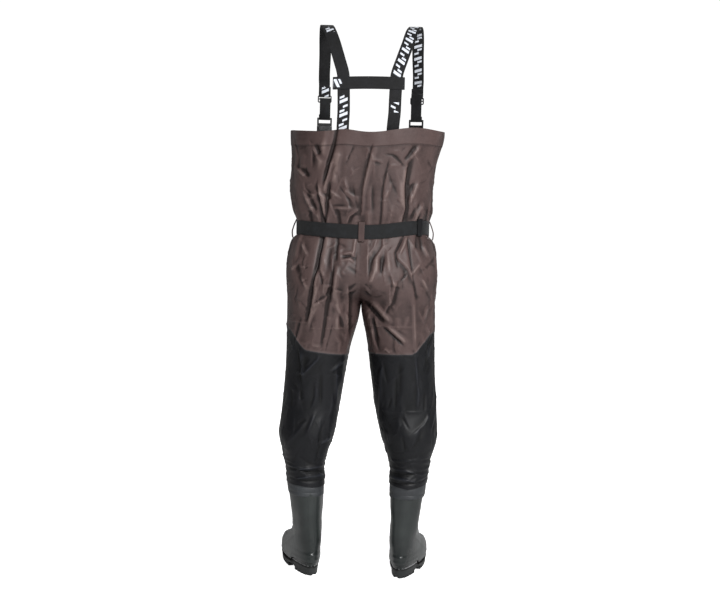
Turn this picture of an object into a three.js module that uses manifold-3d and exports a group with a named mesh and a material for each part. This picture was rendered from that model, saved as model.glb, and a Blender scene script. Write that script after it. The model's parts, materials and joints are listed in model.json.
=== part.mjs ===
// Chest waders: a coated-fabric bib and legs with moulded boots, a waist belt and H-back suspenders.
// Millimetres, +Z up. The wearer faces +Y, so the wearer's right side is +X.
// Heights below are measured from the ground; the finished group is lowered at the end, so that its
// origin is midway between the tops of the two suspenders, where the waders hang.
import * as THREE from "three";
import Module from "manifold-3d";

const wasm = await Module();
wasm.setup();

// ---------------------------------------------------------------- driving dimensions
const chestHeight = 1296; // top edge of the bib
const waistHeight = 1016; // middle of the belt
const crotchHeight = 806;
const kneeHeight = 500;
const bootHeight = 270; // top edge of the rubber boot

const chestWidth = 436;
const chestDepth = 280;
const waistWidth = 370;
const waistDepth = 232;
const hipWidth = 438;
const hipDepth = 290;

const footLength = 288; // boot upper, heel to toe
const footWidth = 100;
const shaftWidth = 102;
const shaftDepth = 128;
const stance = 280; // between the two heel centres
const splay = { left: 15, right: 9 }; // how far each toe turns out, in degrees

const fabricWall = 2; // stand-in wall of the coated fabric
const rubberWall = 4;
const hemDrop = 42; // height of the turned chest hem
const strapWidth = 35; // elastic suspender webbing
const beltWidth = 40;
const webbing = 1.6; // thickness of all webbing
const gap = 0.4; // clearance left between neighbouring pieces
const seamGap = 0.2; // half the slit at each centre seam

// ---------------------------------------------------------------- the garment's outline
const mix = THREE.MathUtils.lerp;
const crotchTop = mix(crotchHeight, waistHeight, 0.45); // here the outline starts to part into two legs
const thighSeamHeight = mix(kneeHeight, crotchHeight, 0.54); // where brown cloth ends

// outer and inner are distances from the centre plane, deep is half the front-to-back size, and back is
// how far the middle of the outline lies behind the wearer's centre.
const shaftLean = 11; // the boot's top stands this much further out than its heel
const shaftCentre = stance / 2 + shaftLean;
const cinch = beltWidth / 2 + 4; // half the height of the stretch that the belt draws in
const ribs = mix(waistHeight, chestHeight, 0.3);
const hips = mix(crotchHeight, waistHeight, 0.4);
const midThigh = mix(kneeHeight, crotchHeight, 0.5);
const calf = mix(bootHeight, kneeHeight, 0.62);
const ankle = mix(bootHeight, kneeHeight, 0.2);
const shaftEdge = shaftWidth / 2 + 2; // the cloth runs this far from the shaft's centre, over its edge
const landmark = (z, outer, inner, deep, back) => ({ z, outer, inner, deep, back });
const landmarks = [
  landmark(chestHeight, chestWidth / 2, 0, chestDepth / 2, 0),
  landmark(ribs, mix(waistWidth, chestWidth, 0.5) / 2, 0, mix(waistDepth, chestDepth, 0.6) / 2, 0),
  landmark(waistHeight + cinch, waistWidth / 2, 0, waistDepth / 2, 0),
  landmark(waistHeight - cinch, waistWidth / 2, 0, waistDepth / 2, 0),
  landmark(hips, hipWidth / 2, 0, hipDepth / 2, 8),
  landmark(crotchHeight, hipWidth / 2 - 4, 0, hipDepth / 2 - 19, 0),
  landmark(midThigh, 215, 32, 100, -5),
  landmark(kneeHeight, 222, 55, 84, -4),
  landmark(calf, 227, 70, 84, 8),
  landmark(ankle, 210, 97, 68, 6),
  landmark(bootHeight, shaftCentre + shaftEdge, shaftCentre - shaftEdge, shaftDepth / 2 + 2, 5),
];

// Value of one landmark column at height z, on a smooth curve that never passes beyond two neighbours.
function follow(key, z) {
  let i = 0;
  while (i < landmarks.length - 2 && z < landmarks[i + 1].z) i++;
  const [p, q] = [landmarks[i], landmarks[i + 1]];
  const slope = (m, n) => (n === m ? 0 : (n[key] - m[key]) / (n.z - m.z));
  const level = (m, at, n) => (slope(m, at) * slope(at, n) > 0 ? slope(m, n) : 0);
  const before = landmarks[Math.max(i - 1, 0)];
  const after = landmarks[Math.min(i + 2, landmarks.length - 1)];
  const span = q.z - p.z;
  const slopeP = level(before, p, q);
  const slopeQ = level(p, q, after);
  const t = THREE.MathUtils.clamp((z - p.z) / span, 0, 1);
  const [t2, t3] = [t * t, t * t * t];
  return (2 * t3 - 3 * t2 + 1) * p[key] + (t3 - 2 * t2 + t) * span * slopeP
    + (3 * t2 - 2 * t3) * q[key] + (t3 - t2) * span * slopeQ;
}

// The right half's outline at height z is a superellipse. Above the crotch it runs past the centre plane
// and is cut there; below, it is the whole leg. inset moves it inwards.
function outline(z, inset = 0) {
  const outer = follow("outer", z);
  const parted = THREE.MathUtils.clamp((crotchTop - z) / (crotchTop - crotchHeight), 0, 1);
  let half = outer / (1 + parted);
  let centre = outer - half;
  if (z < crotchHeight) {
    const inner = Math.max(follow("inner", z), 0);
    half = (outer - inner) / 2;
    centre = (outer + inner) / 2;
  }
  const power = mix(2.4, 2.05, parted);
  half -= inset;
  const deep = follow("deep", z) - inset;
  const cut = Math.min(centre / half, 1);
  const sweep = Math.min(Math.acos(-Math.pow(cut, power / 2)), Math.PI - (2 * gap) / deep);
  return { centre, half, deep, y: -follow("back", z), power, sweep };
}

const signedPower = (v, e) => Math.sign(v) * Math.pow(Math.abs(v), e);

// Point on the right half: around runs from 0 at the front centre, by the outside, to 1 at the back.
function onGarment(around, z, inset = 0) {
  const o = outline(z, inset);
  const angle = o.sweep * (1 - 2 * around);
  return new THREE.Vector3(
    Math.max(o.centre + o.half * signedPower(Math.cos(angle), 2 / o.power), 0) + seamGap,
    o.y + o.deep * signedPower(Math.sin(angle), 2 / o.power),
    z,
  );
}

// Point, outward direction and sideways direction on the bib's front or back, at a distance x from centre.
function atWidth(x, z, front, inset = 0) {
  const o = outline(z, inset);
  const share = Math.min(x / o.half, 0.99);
  const rest = 1 - Math.pow(share, o.power);
  const y = o.deep * Math.pow(rest, 1 / o.power);
  const slope = -(o.deep / o.half) * Math.pow(share, o.power - 1) * Math.pow(rest, 1 / o.power - 1);
  const way = front ? 1 : -1;
  return {
    point: new THREE.Vector3(x, o.y + way * y, z),
    side: new THREE.Vector3(1, way * slope, 0).normalize(),
    out: new THREE.Vector3(-slope, way, 0).normalize(),
  };
}

// ---------------------------------------------------------------- mesh helpers
const brown = new THREE.MeshStandardMaterial({ color: 0x65504f, roughness: 0.55, metalness: 0 });
const black = new THREE.MeshStandardMaterial({ color: 0x26282c, roughness: 0.5, metalness: 0 });
const rubber = new THREE.MeshStandardMaterial({ color: 0x3c4240, roughness: 0.45, metalness: 0 });
const soleRubber = new THREE.MeshStandardMaterial({ color: 0x2e3331, roughness: 0.7, metalness: 0 });
const beltCloth = new THREE.MeshStandardMaterial({ color: 0x33373a, roughness: 0.8, metalness: 0 });
const strapCloth = new THREE.MeshStandardMaterial({ color: 0x2b2d31, roughness: 0.8, metalness: 0 });
const plastic = new THREE.MeshStandardMaterial({ color: 0x1b1c1e, roughness: 0.35, metalness: 0 });
const tape = new THREE.MeshStandardMaterial({ color: 0x4c4040, roughness: 0.6, metalness: 0 });

const waders = new THREE.Group();

function add(name, geometry, material) {
  const mesh = new THREE.Mesh(geometry, material);
  mesh.name = name;
  waders.add(mesh);
  return mesh;
}

// A closed geometry from vertices and triangles, turned so that its faces point outwards.
function closed(positions, triangles) {
  let volume = 0;
  const at = (i) => new THREE.Vector3().fromArray(positions, 3 * i);
  for (let i = 0; i < triangles.length; i += 3)
    volume += at(triangles[i]).dot(at(triangles[i + 1]).cross(at(triangles[i + 2])));
  if (volume < 0) triangles.reverse();
  const geometry = new THREE.BufferGeometry();
  geometry.setAttribute("position", new THREE.Float32BufferAttribute(positions, 3));
  geometry.setIndex(triangles);
  return geometry;
}

// A wall between two surfaces: place(u, v, w) gives its outer face at w = 1 and its inner face at w = 0.
// wraps joins u = 1 to u = 0, as in a tube.
function wall(place, uSteps, vSteps, wraps = false) {
  const columns = wraps ? uSteps : uSteps + 1;
  const positions = [];
  for (const w of [0, 1])
    for (let j = 0; j <= vSteps; j++)
      for (let i = 0; i < columns; i++) positions.push(...place(i / uSteps, j / vSteps, w).toArray());
  const id = (i, j, w) => w * columns * (vSteps + 1) + j * columns + (i % columns);
  const triangles = [];
  const quad = (a, b, c, d) => triangles.push(a, b, c, a, c, d);
  for (let i = 0; i < uSteps; i++) {
    for (let j = 0; j < vSteps; j++) {
      quad(id(i, j, 1), id(i + 1, j, 1), id(i + 1, j + 1, 1), id(i, j + 1, 1));
      quad(id(i, j + 1, 0), id(i + 1, j + 1, 0), id(i + 1, j, 0), id(i, j, 0));
    }
    quad(id(i, 0, 0), id(i + 1, 0, 0), id(i + 1, 0, 1), id(i, 0, 1));
    quad(id(i, vSteps, 1), id(i + 1, vSteps, 1), id(i + 1, vSteps, 0), id(i, vSteps, 0));
  }
  if (!wraps)
    for (let j = 0; j < vSteps; j++) {
      quad(id(0, j, 1), id(0, j + 1, 1), id(0, j + 1, 0), id(0, j, 0));
      quad(id(uSteps, j, 0), id(uSteps, j + 1, 0), id(uSteps, j + 1, 1), id(uSteps, j, 1));
    }
  return closed(positions, triangles);
}

// A flat band along points. hint is the direction of its width, for the whole band or for each point.
function band(points, hint, width, thickness) {
  const last = points.length - 1;
  const place = (u, v, w) => {
    const i = Math.round(v * last);
    const along = points[Math.min(i + 1, last)].clone().sub(points[Math.max(i - 1, 0)]).normalize();
    const side = (Array.isArray(hint) ? hint[i] : hint).clone();
    side.addScaledVector(along, -side.dot(along)).normalize();
    const out = new THREE.Vector3().crossVectors(along, side);
    const point = points[i].clone().addScaledVector(side, (u - 0.5) * width);
    return point.addScaledVector(out, (w - 0.5) * thickness);
  };
  return wall(place, 1, last);
}

// A geometry as a body that can be joined and cut, its corners merged.
function solid(geometry) {
  const flat = geometry.index ? geometry.toNonIndexed() : geometry;
  const found = new Map();
  const vertices = [];
  const triangles = [];
  for (let i = 0; i < flat.attributes.position.count; i++) {
    const corner = new THREE.Vector3().fromBufferAttribute(flat.attributes.position, i);
    const key = corner.toArray().map((v) => Math.round(v * 1e4)).join();
    if (!found.has(key)) found.set(key, vertices.push(...corner.toArray()) / 3 - 1);
    triangles.push(found.get(key));
  }
  const vertProperties = new Float32Array(vertices);
  const triVerts = new Uint32Array(triangles);
  return new wasm.Manifold(new wasm.Mesh({ numProp: 3, vertProperties, triVerts }));
}

function geometryOf(made) {
  const mesh = made.getMesh();
  return closed(Array.from(mesh.vertProperties), Array.from(mesh.triVerts));
}

function block(x, y, z, width, length, height) {
  return solid(new THREE.BoxGeometry(width, length, height).translate(x, y, z));
}

// A flat piece cut from an outline of [x, y] points, with its thickness centred on z = 0.
function plate(points, thickness, holes = []) {
  const flat = (list) => list.map(([x, y]) => new THREE.Vector2(x, y));
  const shape = new THREE.Shape(flat(points));
  for (const hole of holes) shape.holes.push(new THREE.Path(flat(hole)));
  const settings = { depth: thickness, bevelEnabled: false };
  return new THREE.ExtrudeGeometry(shape, settings).translate(0, 0, -thickness / 2);
}

const rectangle = (left, right, low, high) => [[left, low], [right, low], [right, high], [left, high]];

// A rectangle with its corners cut, centred on (0, 0).
function eased(width, height, corner) {
  const [x, y] = [width / 2, height / 2];
  const [near, low] = [x - corner, y - corner];
  return [[-near, -y], [near, -y], [x, -low], [x, low], [near, y], [-near, y], [-x, low], [-x, -low]];
}

// Moves a geometry modelled on the XY plane so that its x, y and origin go where they are told.
function seat(geometry, origin, xWay, yWay) {
  const zWay = new THREE.Vector3().crossVectors(xWay, yWay);
  return geometry.applyMatrix4(new THREE.Matrix4().makeBasis(xWay, yWay, zWay).setPosition(origin));
}

const sides = [["left", -1], ["right", 1]];

// The left side is the right side reflected in the centre plane; closed() turns its faces out again.
function mirrored(geometry, side) {
  if (side > 0) return geometry;
  const plain = geometryOf(solid(geometry));
  const positions = Array.from(plain.attributes.position.array).map((v, i) => (i % 3 ? v : -v));
  return closed(positions, Array.from(plain.index.array));
}

// ---------------------------------------------------------------- bib, seat and legs
const hipCut = mix(crotchHeight, waistHeight, 0.62); // lower edge of the firm bib panels
const thighCut = mix(kneeHeight, crotchHeight, 0.68); // upper edge of the firm thigh
const kneeTop = kneeHeight + 82;
const kneeBottom = kneeHeight - 80;
const ankleTop = bootHeight + 42;
const legBottom = bootHeight + 4;

// Cloth from one share of the way round to another, and from one height to another.
function cloth(from, to, low, high, uSteps, vSteps) {
  const place = (u, v, w) => onGarment(mix(from, to, u), mix(low, high, v), (1 - w) * fabricWall);
  return wall(place, uSteps, vSteps);
}

const panelTop = chestHeight - hemDrop - gap;
const panelRows = 10;
const sideSlit = 0.0006; // half the gap at each side seam, as a share of the way round
for (const [name, side] of sides) {
  const piece = (title, material, ...sizes) => {
    add(`${title}_${name}`, mirrored(cloth(...sizes), side), material);
  };
  piece("front_panel", brown, 0, 0.5 - sideSlit, hipCut + gap, panelTop, 8, panelRows);
  piece("back_panel", brown, 0.5 + sideSlit, 1, hipCut + gap, panelTop, 8, panelRows);
  piece("hip_fabric", brown, 0, 1, thighCut + gap, hipCut, 18, 9);
  piece("thigh", brown, 0, 1, thighSeamHeight + gap, thighCut, 18, 2);
  piece("upper_leg", black, 0, 1, kneeTop + gap, thighSeamHeight, 18, 2);
  piece("knee_fabric", black, 0, 1, kneeBottom + gap, kneeTop, 18, 5);
  piece("lower_leg", black, 0, 1, ankleTop + gap, kneeBottom, 18, 4);
  piece("ankle_fabric", black, 0, 1, legBottom, ankleTop, 18, 2);
}

// The turned hem is one ring: the right half's outline, then the left half's on the way back.
const hemPlace = (u, v, w) => {
  const z = mix(chestHeight - hemDrop, chestHeight, v);
  const right = u <= 0.5;
  const p = onGarment(right ? 2 * u : 2 * (1 - u), z, (1 - w) * 4 - 1);
  if (u === 0 || u === 0.5) p.x = 0;
  if (!right) p.x = -p.x;
  return p;
};
add("chest_hem", wall(hemPlace, 32, 1, true), brown);

// Tape welded over the inside of the centre seams, from the hem down to the hip.
const tapeWidth = 16;
for (const [name, around] of [["front", 0], ["back", 1]]) {
  const run = [];
  for (let i = 0; i <= panelRows; i++) {
    const z = mix(hipCut + gap, panelTop, i / panelRows);
    run.push(onGarment(around, z, fabricWall + 2 * gap + 0.6).setX(0));
  }
  add(`seam_tape_${name}`, band(run, new THREE.Vector3(1, 0, 0), tapeWidth, 0.8), tape);
}

// ---------------------------------------------------------------- boots
const soleTop = 22;
const cuffDrop = 34;

// Boot outline at height z in its own frame: toe towards +y, origin under the shaft. lean carries the
// shaft outwards, and egg makes the ball of the foot wider than the heel.
const heelBack = shaftDepth / 2 + 2;
const toe = footLength - heelBack;
const [footHalf, shaftHalf, shaftEnd] = [footWidth / 2, shaftWidth / 2, shaftDepth / 2];
const narrowest = mix(soleTop, bootHeight, 0.536); // the ankle
const bootLandmark = (z, half, low, high, lean, egg) => ({ z, half, low, high, lean, egg });
const bootLandmarks = [
  bootLandmark(soleTop, footHalf - 1, -heelBack + 2, toe - 4, 0, 0.26),
  bootLandmark(mix(soleTop, narrowest, 0.165), footHalf, -heelBack, toe, 0, 0.24),
  bootLandmark(mix(soleTop, narrowest, 0.36), footHalf - 3, -heelBack + 3, toe - 28, 0, 0.18),
  bootLandmark(mix(soleTop, narrowest, 0.55), footHalf - 6, -heelBack + 6, toe - 82, 0, 0.07),
  bootLandmark(mix(soleTop, narrowest, 0.77), footHalf - 9, -heelBack + 8, shaftEnd + 24, 1, 0.02),
  bootLandmark(narrowest, shaftHalf - 10, -shaftEnd + 7, shaftEnd - 1, 3, 0),
  bootLandmark(mix(narrowest, bootHeight, 0.45), shaftHalf - 5, -shaftEnd + 3, shaftEnd - 4, 6, 0),
  bootLandmark(bootHeight, shaftHalf, -shaftEnd, shaftEnd, shaftLean, 0),
];

function bootSection(z) {
  let i = 0;
  while (i < bootLandmarks.length - 2 && z > bootLandmarks[i + 1].z) i++;
  const [p, q] = [bootLandmarks[i], bootLandmarks[i + 1]];
  const t = THREE.MathUtils.clamp((z - p.z) / (q.z - p.z), 0, 1);
  const read = (key) => [key, mix(p[key], q[key], t)];
  return Object.fromEntries(["half", "low", "high", "lean", "egg"].map(read));
}

function onBoot(around, z, inset = 0) {
  const s = bootSection(z);
  const long = (s.high - s.low) / 2 - inset;
  const angle = 2 * Math.PI * around;
  const along = signedPower(Math.sin(angle), 2 / 2.25);
  const across = signedPower(Math.cos(angle), 2 / 2.25) * (s.half - inset) * (1 + s.egg * along);
  return new THREE.Vector3(across + s.lean, (s.high + s.low) / 2 + long * along, z);
}

// A closed cup: outer wall, rim and inner wall down to the inside floor.
function bootShell() {
  const steps = 20;
  const heights = bootLandmarks.slice(1).map((row) => row.z);
  const rows = [[soleTop + gap, 0], ...heights.map((z) => [z, 0])];
  rows.push(...heights.reverse().map((z) => [z, rubberWall]), [soleTop + gap + rubberWall, rubberWall]);
  const positions = [];
  for (const [z, inset] of rows)
    for (let i = 0; i < steps; i++) positions.push(...onBoot(i / steps, z, inset).toArray());
  const triangles = [];
  for (let j = 0; j < rows.length - 1; j++)
    for (let i = 0; i < steps; i++) {
      const [a, b] = [j * steps + i, j * steps + ((i + 1) % steps)];
      triangles.push(a, b, b + steps, a, b + steps, a + steps);
    }
  const close = (row, flip) => {
    const centre = positions.length / 3;
    const s = bootSection(rows[row][0]);
    positions.push(s.lean, (s.high + s.low) / 2, rows[row][0]);
    for (let i = 0; i < steps; i++) {
      const [a, b] = [row * steps + i, row * steps + ((i + 1) % steps)];
      triangles.push(...(flip ? [b, a, centre] : [a, b, centre]));
    }
  };
  close(0, true);
  close(rows.length - 1, false);
  return closed(positions, triangles);
}

// A plate of the foot's outline at height z, moved in by inset, from one height to another.
function footPlate(inset, z, low, high) {
  const points = [];
  for (let i = 0; i < 24; i++) {
    const p = onBoot(i / 24, z, inset);
    points.push([p.x, p.y]);
  }
  return plate(points, high - low).translate(0, 0, (high + low) / 2);
}

// Outsole: a plate the shape of the foot, a heel block, and cleats across the ball, all flat underneath.
function outsole() {
  const treadTop = 13;
  const edge = (grow, low, high) => solid(footPlate(-grow, soleTop, low, high));
  const tread = edge(1, 0, treadTop + 1);
  const heelFront = -heelBack + footLength * 0.3;
  let kept = block(0, -heelBack, treadTop / 2, 2 * footWidth, 2 * footLength * 0.3, treadTop + 1);
  const cleatPitch = 18;
  for (let y = heelFront + 32; y < footLength - heelBack; y += cleatPitch)
    kept = kept.add(block(0, y, treadTop / 2, 2 * footWidth, cleatPitch * 0.62, treadTop + 1));
  return geometryOf(edge(3, treadTop, soleTop).add(tread.intersect(kept)));
}

function insole() {
  const low = soleTop + gap + rubberWall + gap;
  return footPlate(rubberWall + 1.5, low, low, low + 4);
}

function cuffBand() {
  const place = (u, v, w) => onBoot(u, mix(bootHeight - cuffDrop, bootHeight + 2, v), -gap - 1.6 * w);
  return wall(place, 20, 1, true);
}

for (const [name, side] of sides) {
  const turnOut = THREE.MathUtils.degToRad(splay[name]);
  const place = (geometry) => mirrored(geometry.rotateZ(-turnOut).translate(stance / 2, -5, 0), side);
  add(`boot_shell_${name}`, place(bootShell()), rubber);
  add(`boot_outsole_${name}`, place(outsole()), soleRubber);
  add(`boot_insole_${name}`, place(insole()), strapCloth);
  add(`boot_cuff_${name}`, place(cuffBand()), rubber);
}

// ---------------------------------------------------------------- side-release buckles
// Modelled flat: x across the webbing, y towards the socket, y = 0 where plug and socket meet.
const plugBase = 24; // length of the plug that stays outside the socket
const plugBar = 4.4; // bar that the webbing loops round, on plug and socket alike
const prongLength = 22;
const plugThick = 5;
const barTurn = Math.hypot(plugBar, plugThick) / 2 + webbing / 2 + 0.25; // webbing's turn round a bar
const socketLength = 34;
const socketThick = 10.5;
const socketFrame = 14; // length of the socket's webbing frame

function plug(width) {
  const half = width / 2 + 5;
  const inner = width / 2 - 5;
  const base = [[half, -plugBase], [half, 0]];
  const barb = [[inner + 4.5, 0], [inner + 4.5, 12], [inner + 6.5, 14], [inner + 6.5, 17]];
  const tip = [[inner + 1, prongLength], [inner - 2, prongLength], [inner - 1, 4]];
  const right = [...base, ...barb, ...tip, [3, 4], [3, prongLength - 2]];
  const left = right.map(([x, y]) => [-x, y]).reverse();
  const slot = rectangle(-width / 2 - 1, width / 2 + 1, -plugBase + plugBar, -8);
  return plate([...right, ...left], plugThick, [slot]);
}

function socket(width) {
  const outer = width + 11;
  const mouth = eased(width + 6, plugThick + 1.4, 0.5).reverse();
  const sleeveShape = plate(eased(outer, socketThick, 3), socketLength, [mouth]);
  const sleeve = solid(sleeveShape.rotateX(-Math.PI / 2).translate(0, gap + socketLength / 2, 0));
  const windows = block(0, 16, 0, outer + 10, 11, plugThick - 0.4);
  const end = gap + socketLength;
  const slot = rectangle(-width / 2 - 1, width / 2 + 1, end + 3, end + socketFrame - plugBar);
  const rim = rectangle(-width / 2 - 5, width / 2 + 5, end - 3, end + socketFrame);
  const frame = plate(rim, plugThick, [slot]);
  return geometryOf(sleeve.subtract(windows).add(solid(frame)));
}

// A slider with two slots side by side, modelled flat, webbing running along y.
const sliderLength = 22;
const sliderThick = 3;
const sliderSlot = 5.2;
const sliderBar = sliderLength / 2 - 1.9; // middle of the bar that the suspender loops round
const sliderTurn = 3.5;
function slider(width) {
  const slot = (y) => rectangle(-width / 2 - 1, width / 2 + 1, y - sliderSlot / 2, y + sliderSlot / 2);
  return plate(eased(width + 8, sliderLength, 3), sliderThick, [slot(-4.6), slot(4.6)]);
}

// ---------------------------------------------------------------- suspenders
const shoulderRise = 303; // from the bib's edge to the top of each suspender
const clipX = 136; // clips on the front hem
const backX = 73; // suspenders on the back hem
const crossRise = 133; // back cross band above the bib's edge
const crossSpread = 3.5; // the suspenders stand this much further apart there
const plugMeet = chestHeight + 16; // height where each plug meets its socket
const clipOff = 7; // middle of the clip, out from the hem
const strapOff = clipOff + 2.7; // middle of the slider, out from the hem
const sliderRise = chestHeight + 95; // middle of the slider
const tailEnds = { left: chestHeight + 98, right: chestHeight + 116 }; // free end of each plain webbing

const hemAt = atWidth(clipX, chestHeight - 10, true, -1);
const up = new THREE.Vector3(0, 0, 1);
const down = new THREE.Vector3(0, 0, -1);
// A point on the clip's own line: out from the hem by d, at height z.
const onClip = (d, z) => hemAt.point.clone().addScaledVector(hemAt.out, d).setZ(z);

// Half a turn of webbing about a bar, in steps: from one face of the bar to the other.
function turn(centreD, z, radius, below) {
  const run = [];
  for (let i = 0; i <= 6; i++) {
    const a = (Math.PI * i) / 6;
    run.push(onClip(centreD + radius * Math.cos(a), z + (below ? -1 : 1) * radius * Math.sin(a)));
  }
  return run;
}

function suspender() {
  const top = chestHeight + shoulderRise;
  const cross = chestHeight + crossRise;
  const hem = atWidth(backX, chestHeight - 20, false, 5.8);
  const inside = (z) => hem.point.clone().setZ(z);
  const clear = atWidth(backX, chestHeight - 20, false, 2).point.y;
  const knots = [
    [inside(chestHeight - 38), hem.side],
    [inside(chestHeight + 4), hem.side],
    [new THREE.Vector3(backX + 1, clear - 1.5, chestHeight + 45), hem.side],
    [new THREE.Vector3(backX + 2, clear - 2, cross - 36), new THREE.Vector3(1, 0, 0)],
    [new THREE.Vector3(backX + crossSpread, clear - 2, cross), new THREE.Vector3(1, 0, 0)],
    [new THREE.Vector3(backX + crossSpread + 2, clear - 2, cross + 28), new THREE.Vector3(1, 0, 0)],
    [new THREE.Vector3(backX + 18, clear + 14, mix(cross, top, 0.4)), new THREE.Vector3(1, 0.05, 0)],
    [new THREE.Vector3(backX + 34, clear + 44, mix(cross, top, 0.68)), new THREE.Vector3(1, 0, 0)],
    [new THREE.Vector3(clipX - 17, clear + 78, mix(cross, top, 0.88)), new THREE.Vector3(1, 0, 0)],
    [new THREE.Vector3(clipX - 7, clear + 118, top - 3), new THREE.Vector3(1, -0.05, 0)],
    [new THREE.Vector3(clipX - 1, clear + 160, top - 6), new THREE.Vector3(1, -0.1, 0)],
    [new THREE.Vector3(clipX + 2, clear + 196, top - 34), new THREE.Vector3(1, -0.2, 0)],
    [new THREE.Vector3(clipX + 3, clear + 224, top - 82), new THREE.Vector3(1, -0.3, 0)],
    [onClip(strapOff + sliderTurn, top - 138).add(new THREE.Vector3(0, -14, 0)), hemAt.side],
    [onClip(strapOff + sliderTurn, sliderRise + 44), hemAt.side],
  ];
  const line = new THREE.CatmullRomCurve3(knots.map(([p]) => p), false, "centripetal");
  const points = [];
  const hints = [];
  const perKnot = 3;
  for (let i = 0; i <= (knots.length - 1) * perKnot; i++) {
    const at = i / perKnot;
    const k = Math.min(Math.floor(at), knots.length - 2);
    points.push(line.getPoint(i / ((knots.length - 1) * perKnot)));
    hints.push(knots[k][1].clone().lerp(knots[k + 1][1], at - k).normalize());
  }
  const loop = turn(strapOff, sliderRise + sliderBar, sliderTurn, true);
  for (const p of [...loop, onClip(strapOff - sliderTurn, sliderRise + 36)]) {
    points.push(p);
    hints.push(hemAt.side);
  }
  return band(points, hints, strapWidth, webbing);
}

// Plain webbing that loops round the plug's bar and lies free on the body side of the suspender.
function clipWebbing(tailEnd) {
  const bar = plugMeet + plugBase - plugBar / 2;
  const run = [onClip(clipOff + barTurn, bar + 11), ...turn(clipOff, bar, barTurn, true)];
  run.push(onClip(clipOff - barTurn, mix(bar, tailEnd, 0.5)), onClip(clipOff - barTurn, tailEnd));
  return band(run, hemAt.side, strapWidth, webbing);
}

// Webbing tab sewn to the outside of the front panel, looped round the socket's bar.
function clipTab() {
  const bar = plugMeet - gap - socketLength - socketFrame + plugBar / 2;
  const sewn = chestHeight - hemDrop - 42;
  const sunk = atWidth(clipX, mix(sewn, chestHeight, 0.2), true);
  const onPanel = (d, z) => sunk.point.clone().addScaledVector(sunk.out, d).setZ(z);
  const run = [onPanel(1.6, sewn), onPanel(2, mix(sewn, bar, 0.55))];
  run.push(...turn(clipOff, bar, barTurn, false).reverse());
  run.push(onPanel(4.8, mix(sewn, bar, 0.55)), onPanel(4, sewn));
  return band(run, hemAt.side, strapWidth, webbing);
}

for (const [name, side] of sides) {
  const clip = (geometry, d, z, way) => mirrored(seat(geometry, onClip(d, z), hemAt.side, way), side);
  add(`suspender_${name}`, mirrored(suspender(), side), strapCloth);
  add(`strap_slider_${name}`, clip(slider(strapWidth), strapOff, sliderRise, up), plastic);
  add(`clip_plug_${name}`, clip(plug(strapWidth), clipOff, plugMeet, down), plastic);
  add(`clip_webbing_${name}`, mirrored(clipWebbing(tailEnds[name]), side), beltCloth);
  add(`clip_socket_${name}`, clip(socket(strapWidth), clipOff, plugMeet, down), plastic);
  add(`clip_tab_${name}`, mirrored(clipTab(), side), beltCloth);
}

// The cross band is a flat loop of webbing round both suspenders, behind the shoulders.
function crossBand() {
  const y = atWidth(backX, chestHeight - 20, false, 2).point.y - 2;
  const reach = backX + crossSpread + strapWidth / 2 + 2.5;
  const apart = webbing + gap + 0.8;
  const z = chestHeight + crossRise;
  const steps = 6;
  const run = [];
  for (const way of [1, -1])
    for (let i = 0; i <= steps; i++) {
      const a = (Math.PI * i) / steps - Math.PI / 2;
      run.push(new THREE.Vector3(way * (reach + apart * Math.cos(a)), y + way * apart * Math.sin(a), z));
    }
  const place = (u, v, w) => {
    const i = Math.round(u * run.length) % run.length;
    const before = run[(i + run.length - 1) % run.length];
    const after = run[(i + 1) % run.length];
    const along = after.clone().sub(before).normalize();
    const out = new THREE.Vector3(along.y, -along.x, 0);
    return run[i].clone().addScaledVector(out, (w - 0.5) * webbing).setZ(z + (v - 0.5) * strapWidth);
  };
  return wall(place, run.length, 1, true);
}
add("back_cross_band", crossBand(), strapCloth);

// ---------------------------------------------------------------- belt
const beltFlat = waistDepth / 2 + 9; // how far forward the buckle sits
const beltOff = 6; // middle of the belt, out from the cloth
const buckleReach = 78; // half the straight stretch of belt behind the buckle
const beltBehind = plugThick / 2 + gap + webbing / 2 + 0.2; // belt webbing behind the plug

// Point on the belt's line: around runs from 0 at the front, by the wearer's right, to 1 at the front again.
function onBelt(around) {
  const right = around <= 0.5;
  const p = onGarment(right ? 2 * around : 2 * (1 - around), waistHeight, -beltOff);
  if (!right) p.x = -p.x;
  const flat = beltFlat - beltBehind;
  const share = THREE.MathUtils.smoothstep(Math.abs(p.x), buckleReach, buckleReach + 45);
  if (p.y > 0) p.y = mix(Math.max(flat, p.y), p.y, share);
  return p;
}

const buckleMeet = 0; // x where the belt's plug meets its socket
function beltWebbing() {
  const barX = buckleMeet + gap + socketLength + socketFrame - plugBar / 2;
  const loop = [];
  for (let i = 0; i <= 6; i++) {
    const a = (Math.PI * i) / 6;
    const [back, forward] = [barTurn * Math.sin(a), barTurn * Math.cos(a)];
    loop.push(new THREE.Vector3(barX - back, beltFlat + forward, waistHeight));
  }
  const run = [
    new THREE.Vector3(barX + 30, beltFlat - beltBehind + 2.4, waistHeight),
    new THREE.Vector3(barX + 9, beltFlat + 2, waistHeight),
    ...loop,
  ];
  const steps = 56;
  for (let i = 0; i <= steps; i++) {
    const p = onBelt(i / steps);
    const ahead = p.y > 0 && p.x > 0 && p.x < barX + 12;
    const pastPlug = p.y > 0 && p.x < 0 && p.x > -plugBase - 12;
    if (!ahead && !pastPlug) run.push(p);
  }
  run.push(new THREE.Vector3(buckleMeet - plugBase - 4, beltFlat - beltBehind, waistHeight));
  run.push(new THREE.Vector3(buckleMeet - 2, beltFlat - beltBehind, waistHeight));
  return band(run, up, beltWidth, webbing);
}

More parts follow.
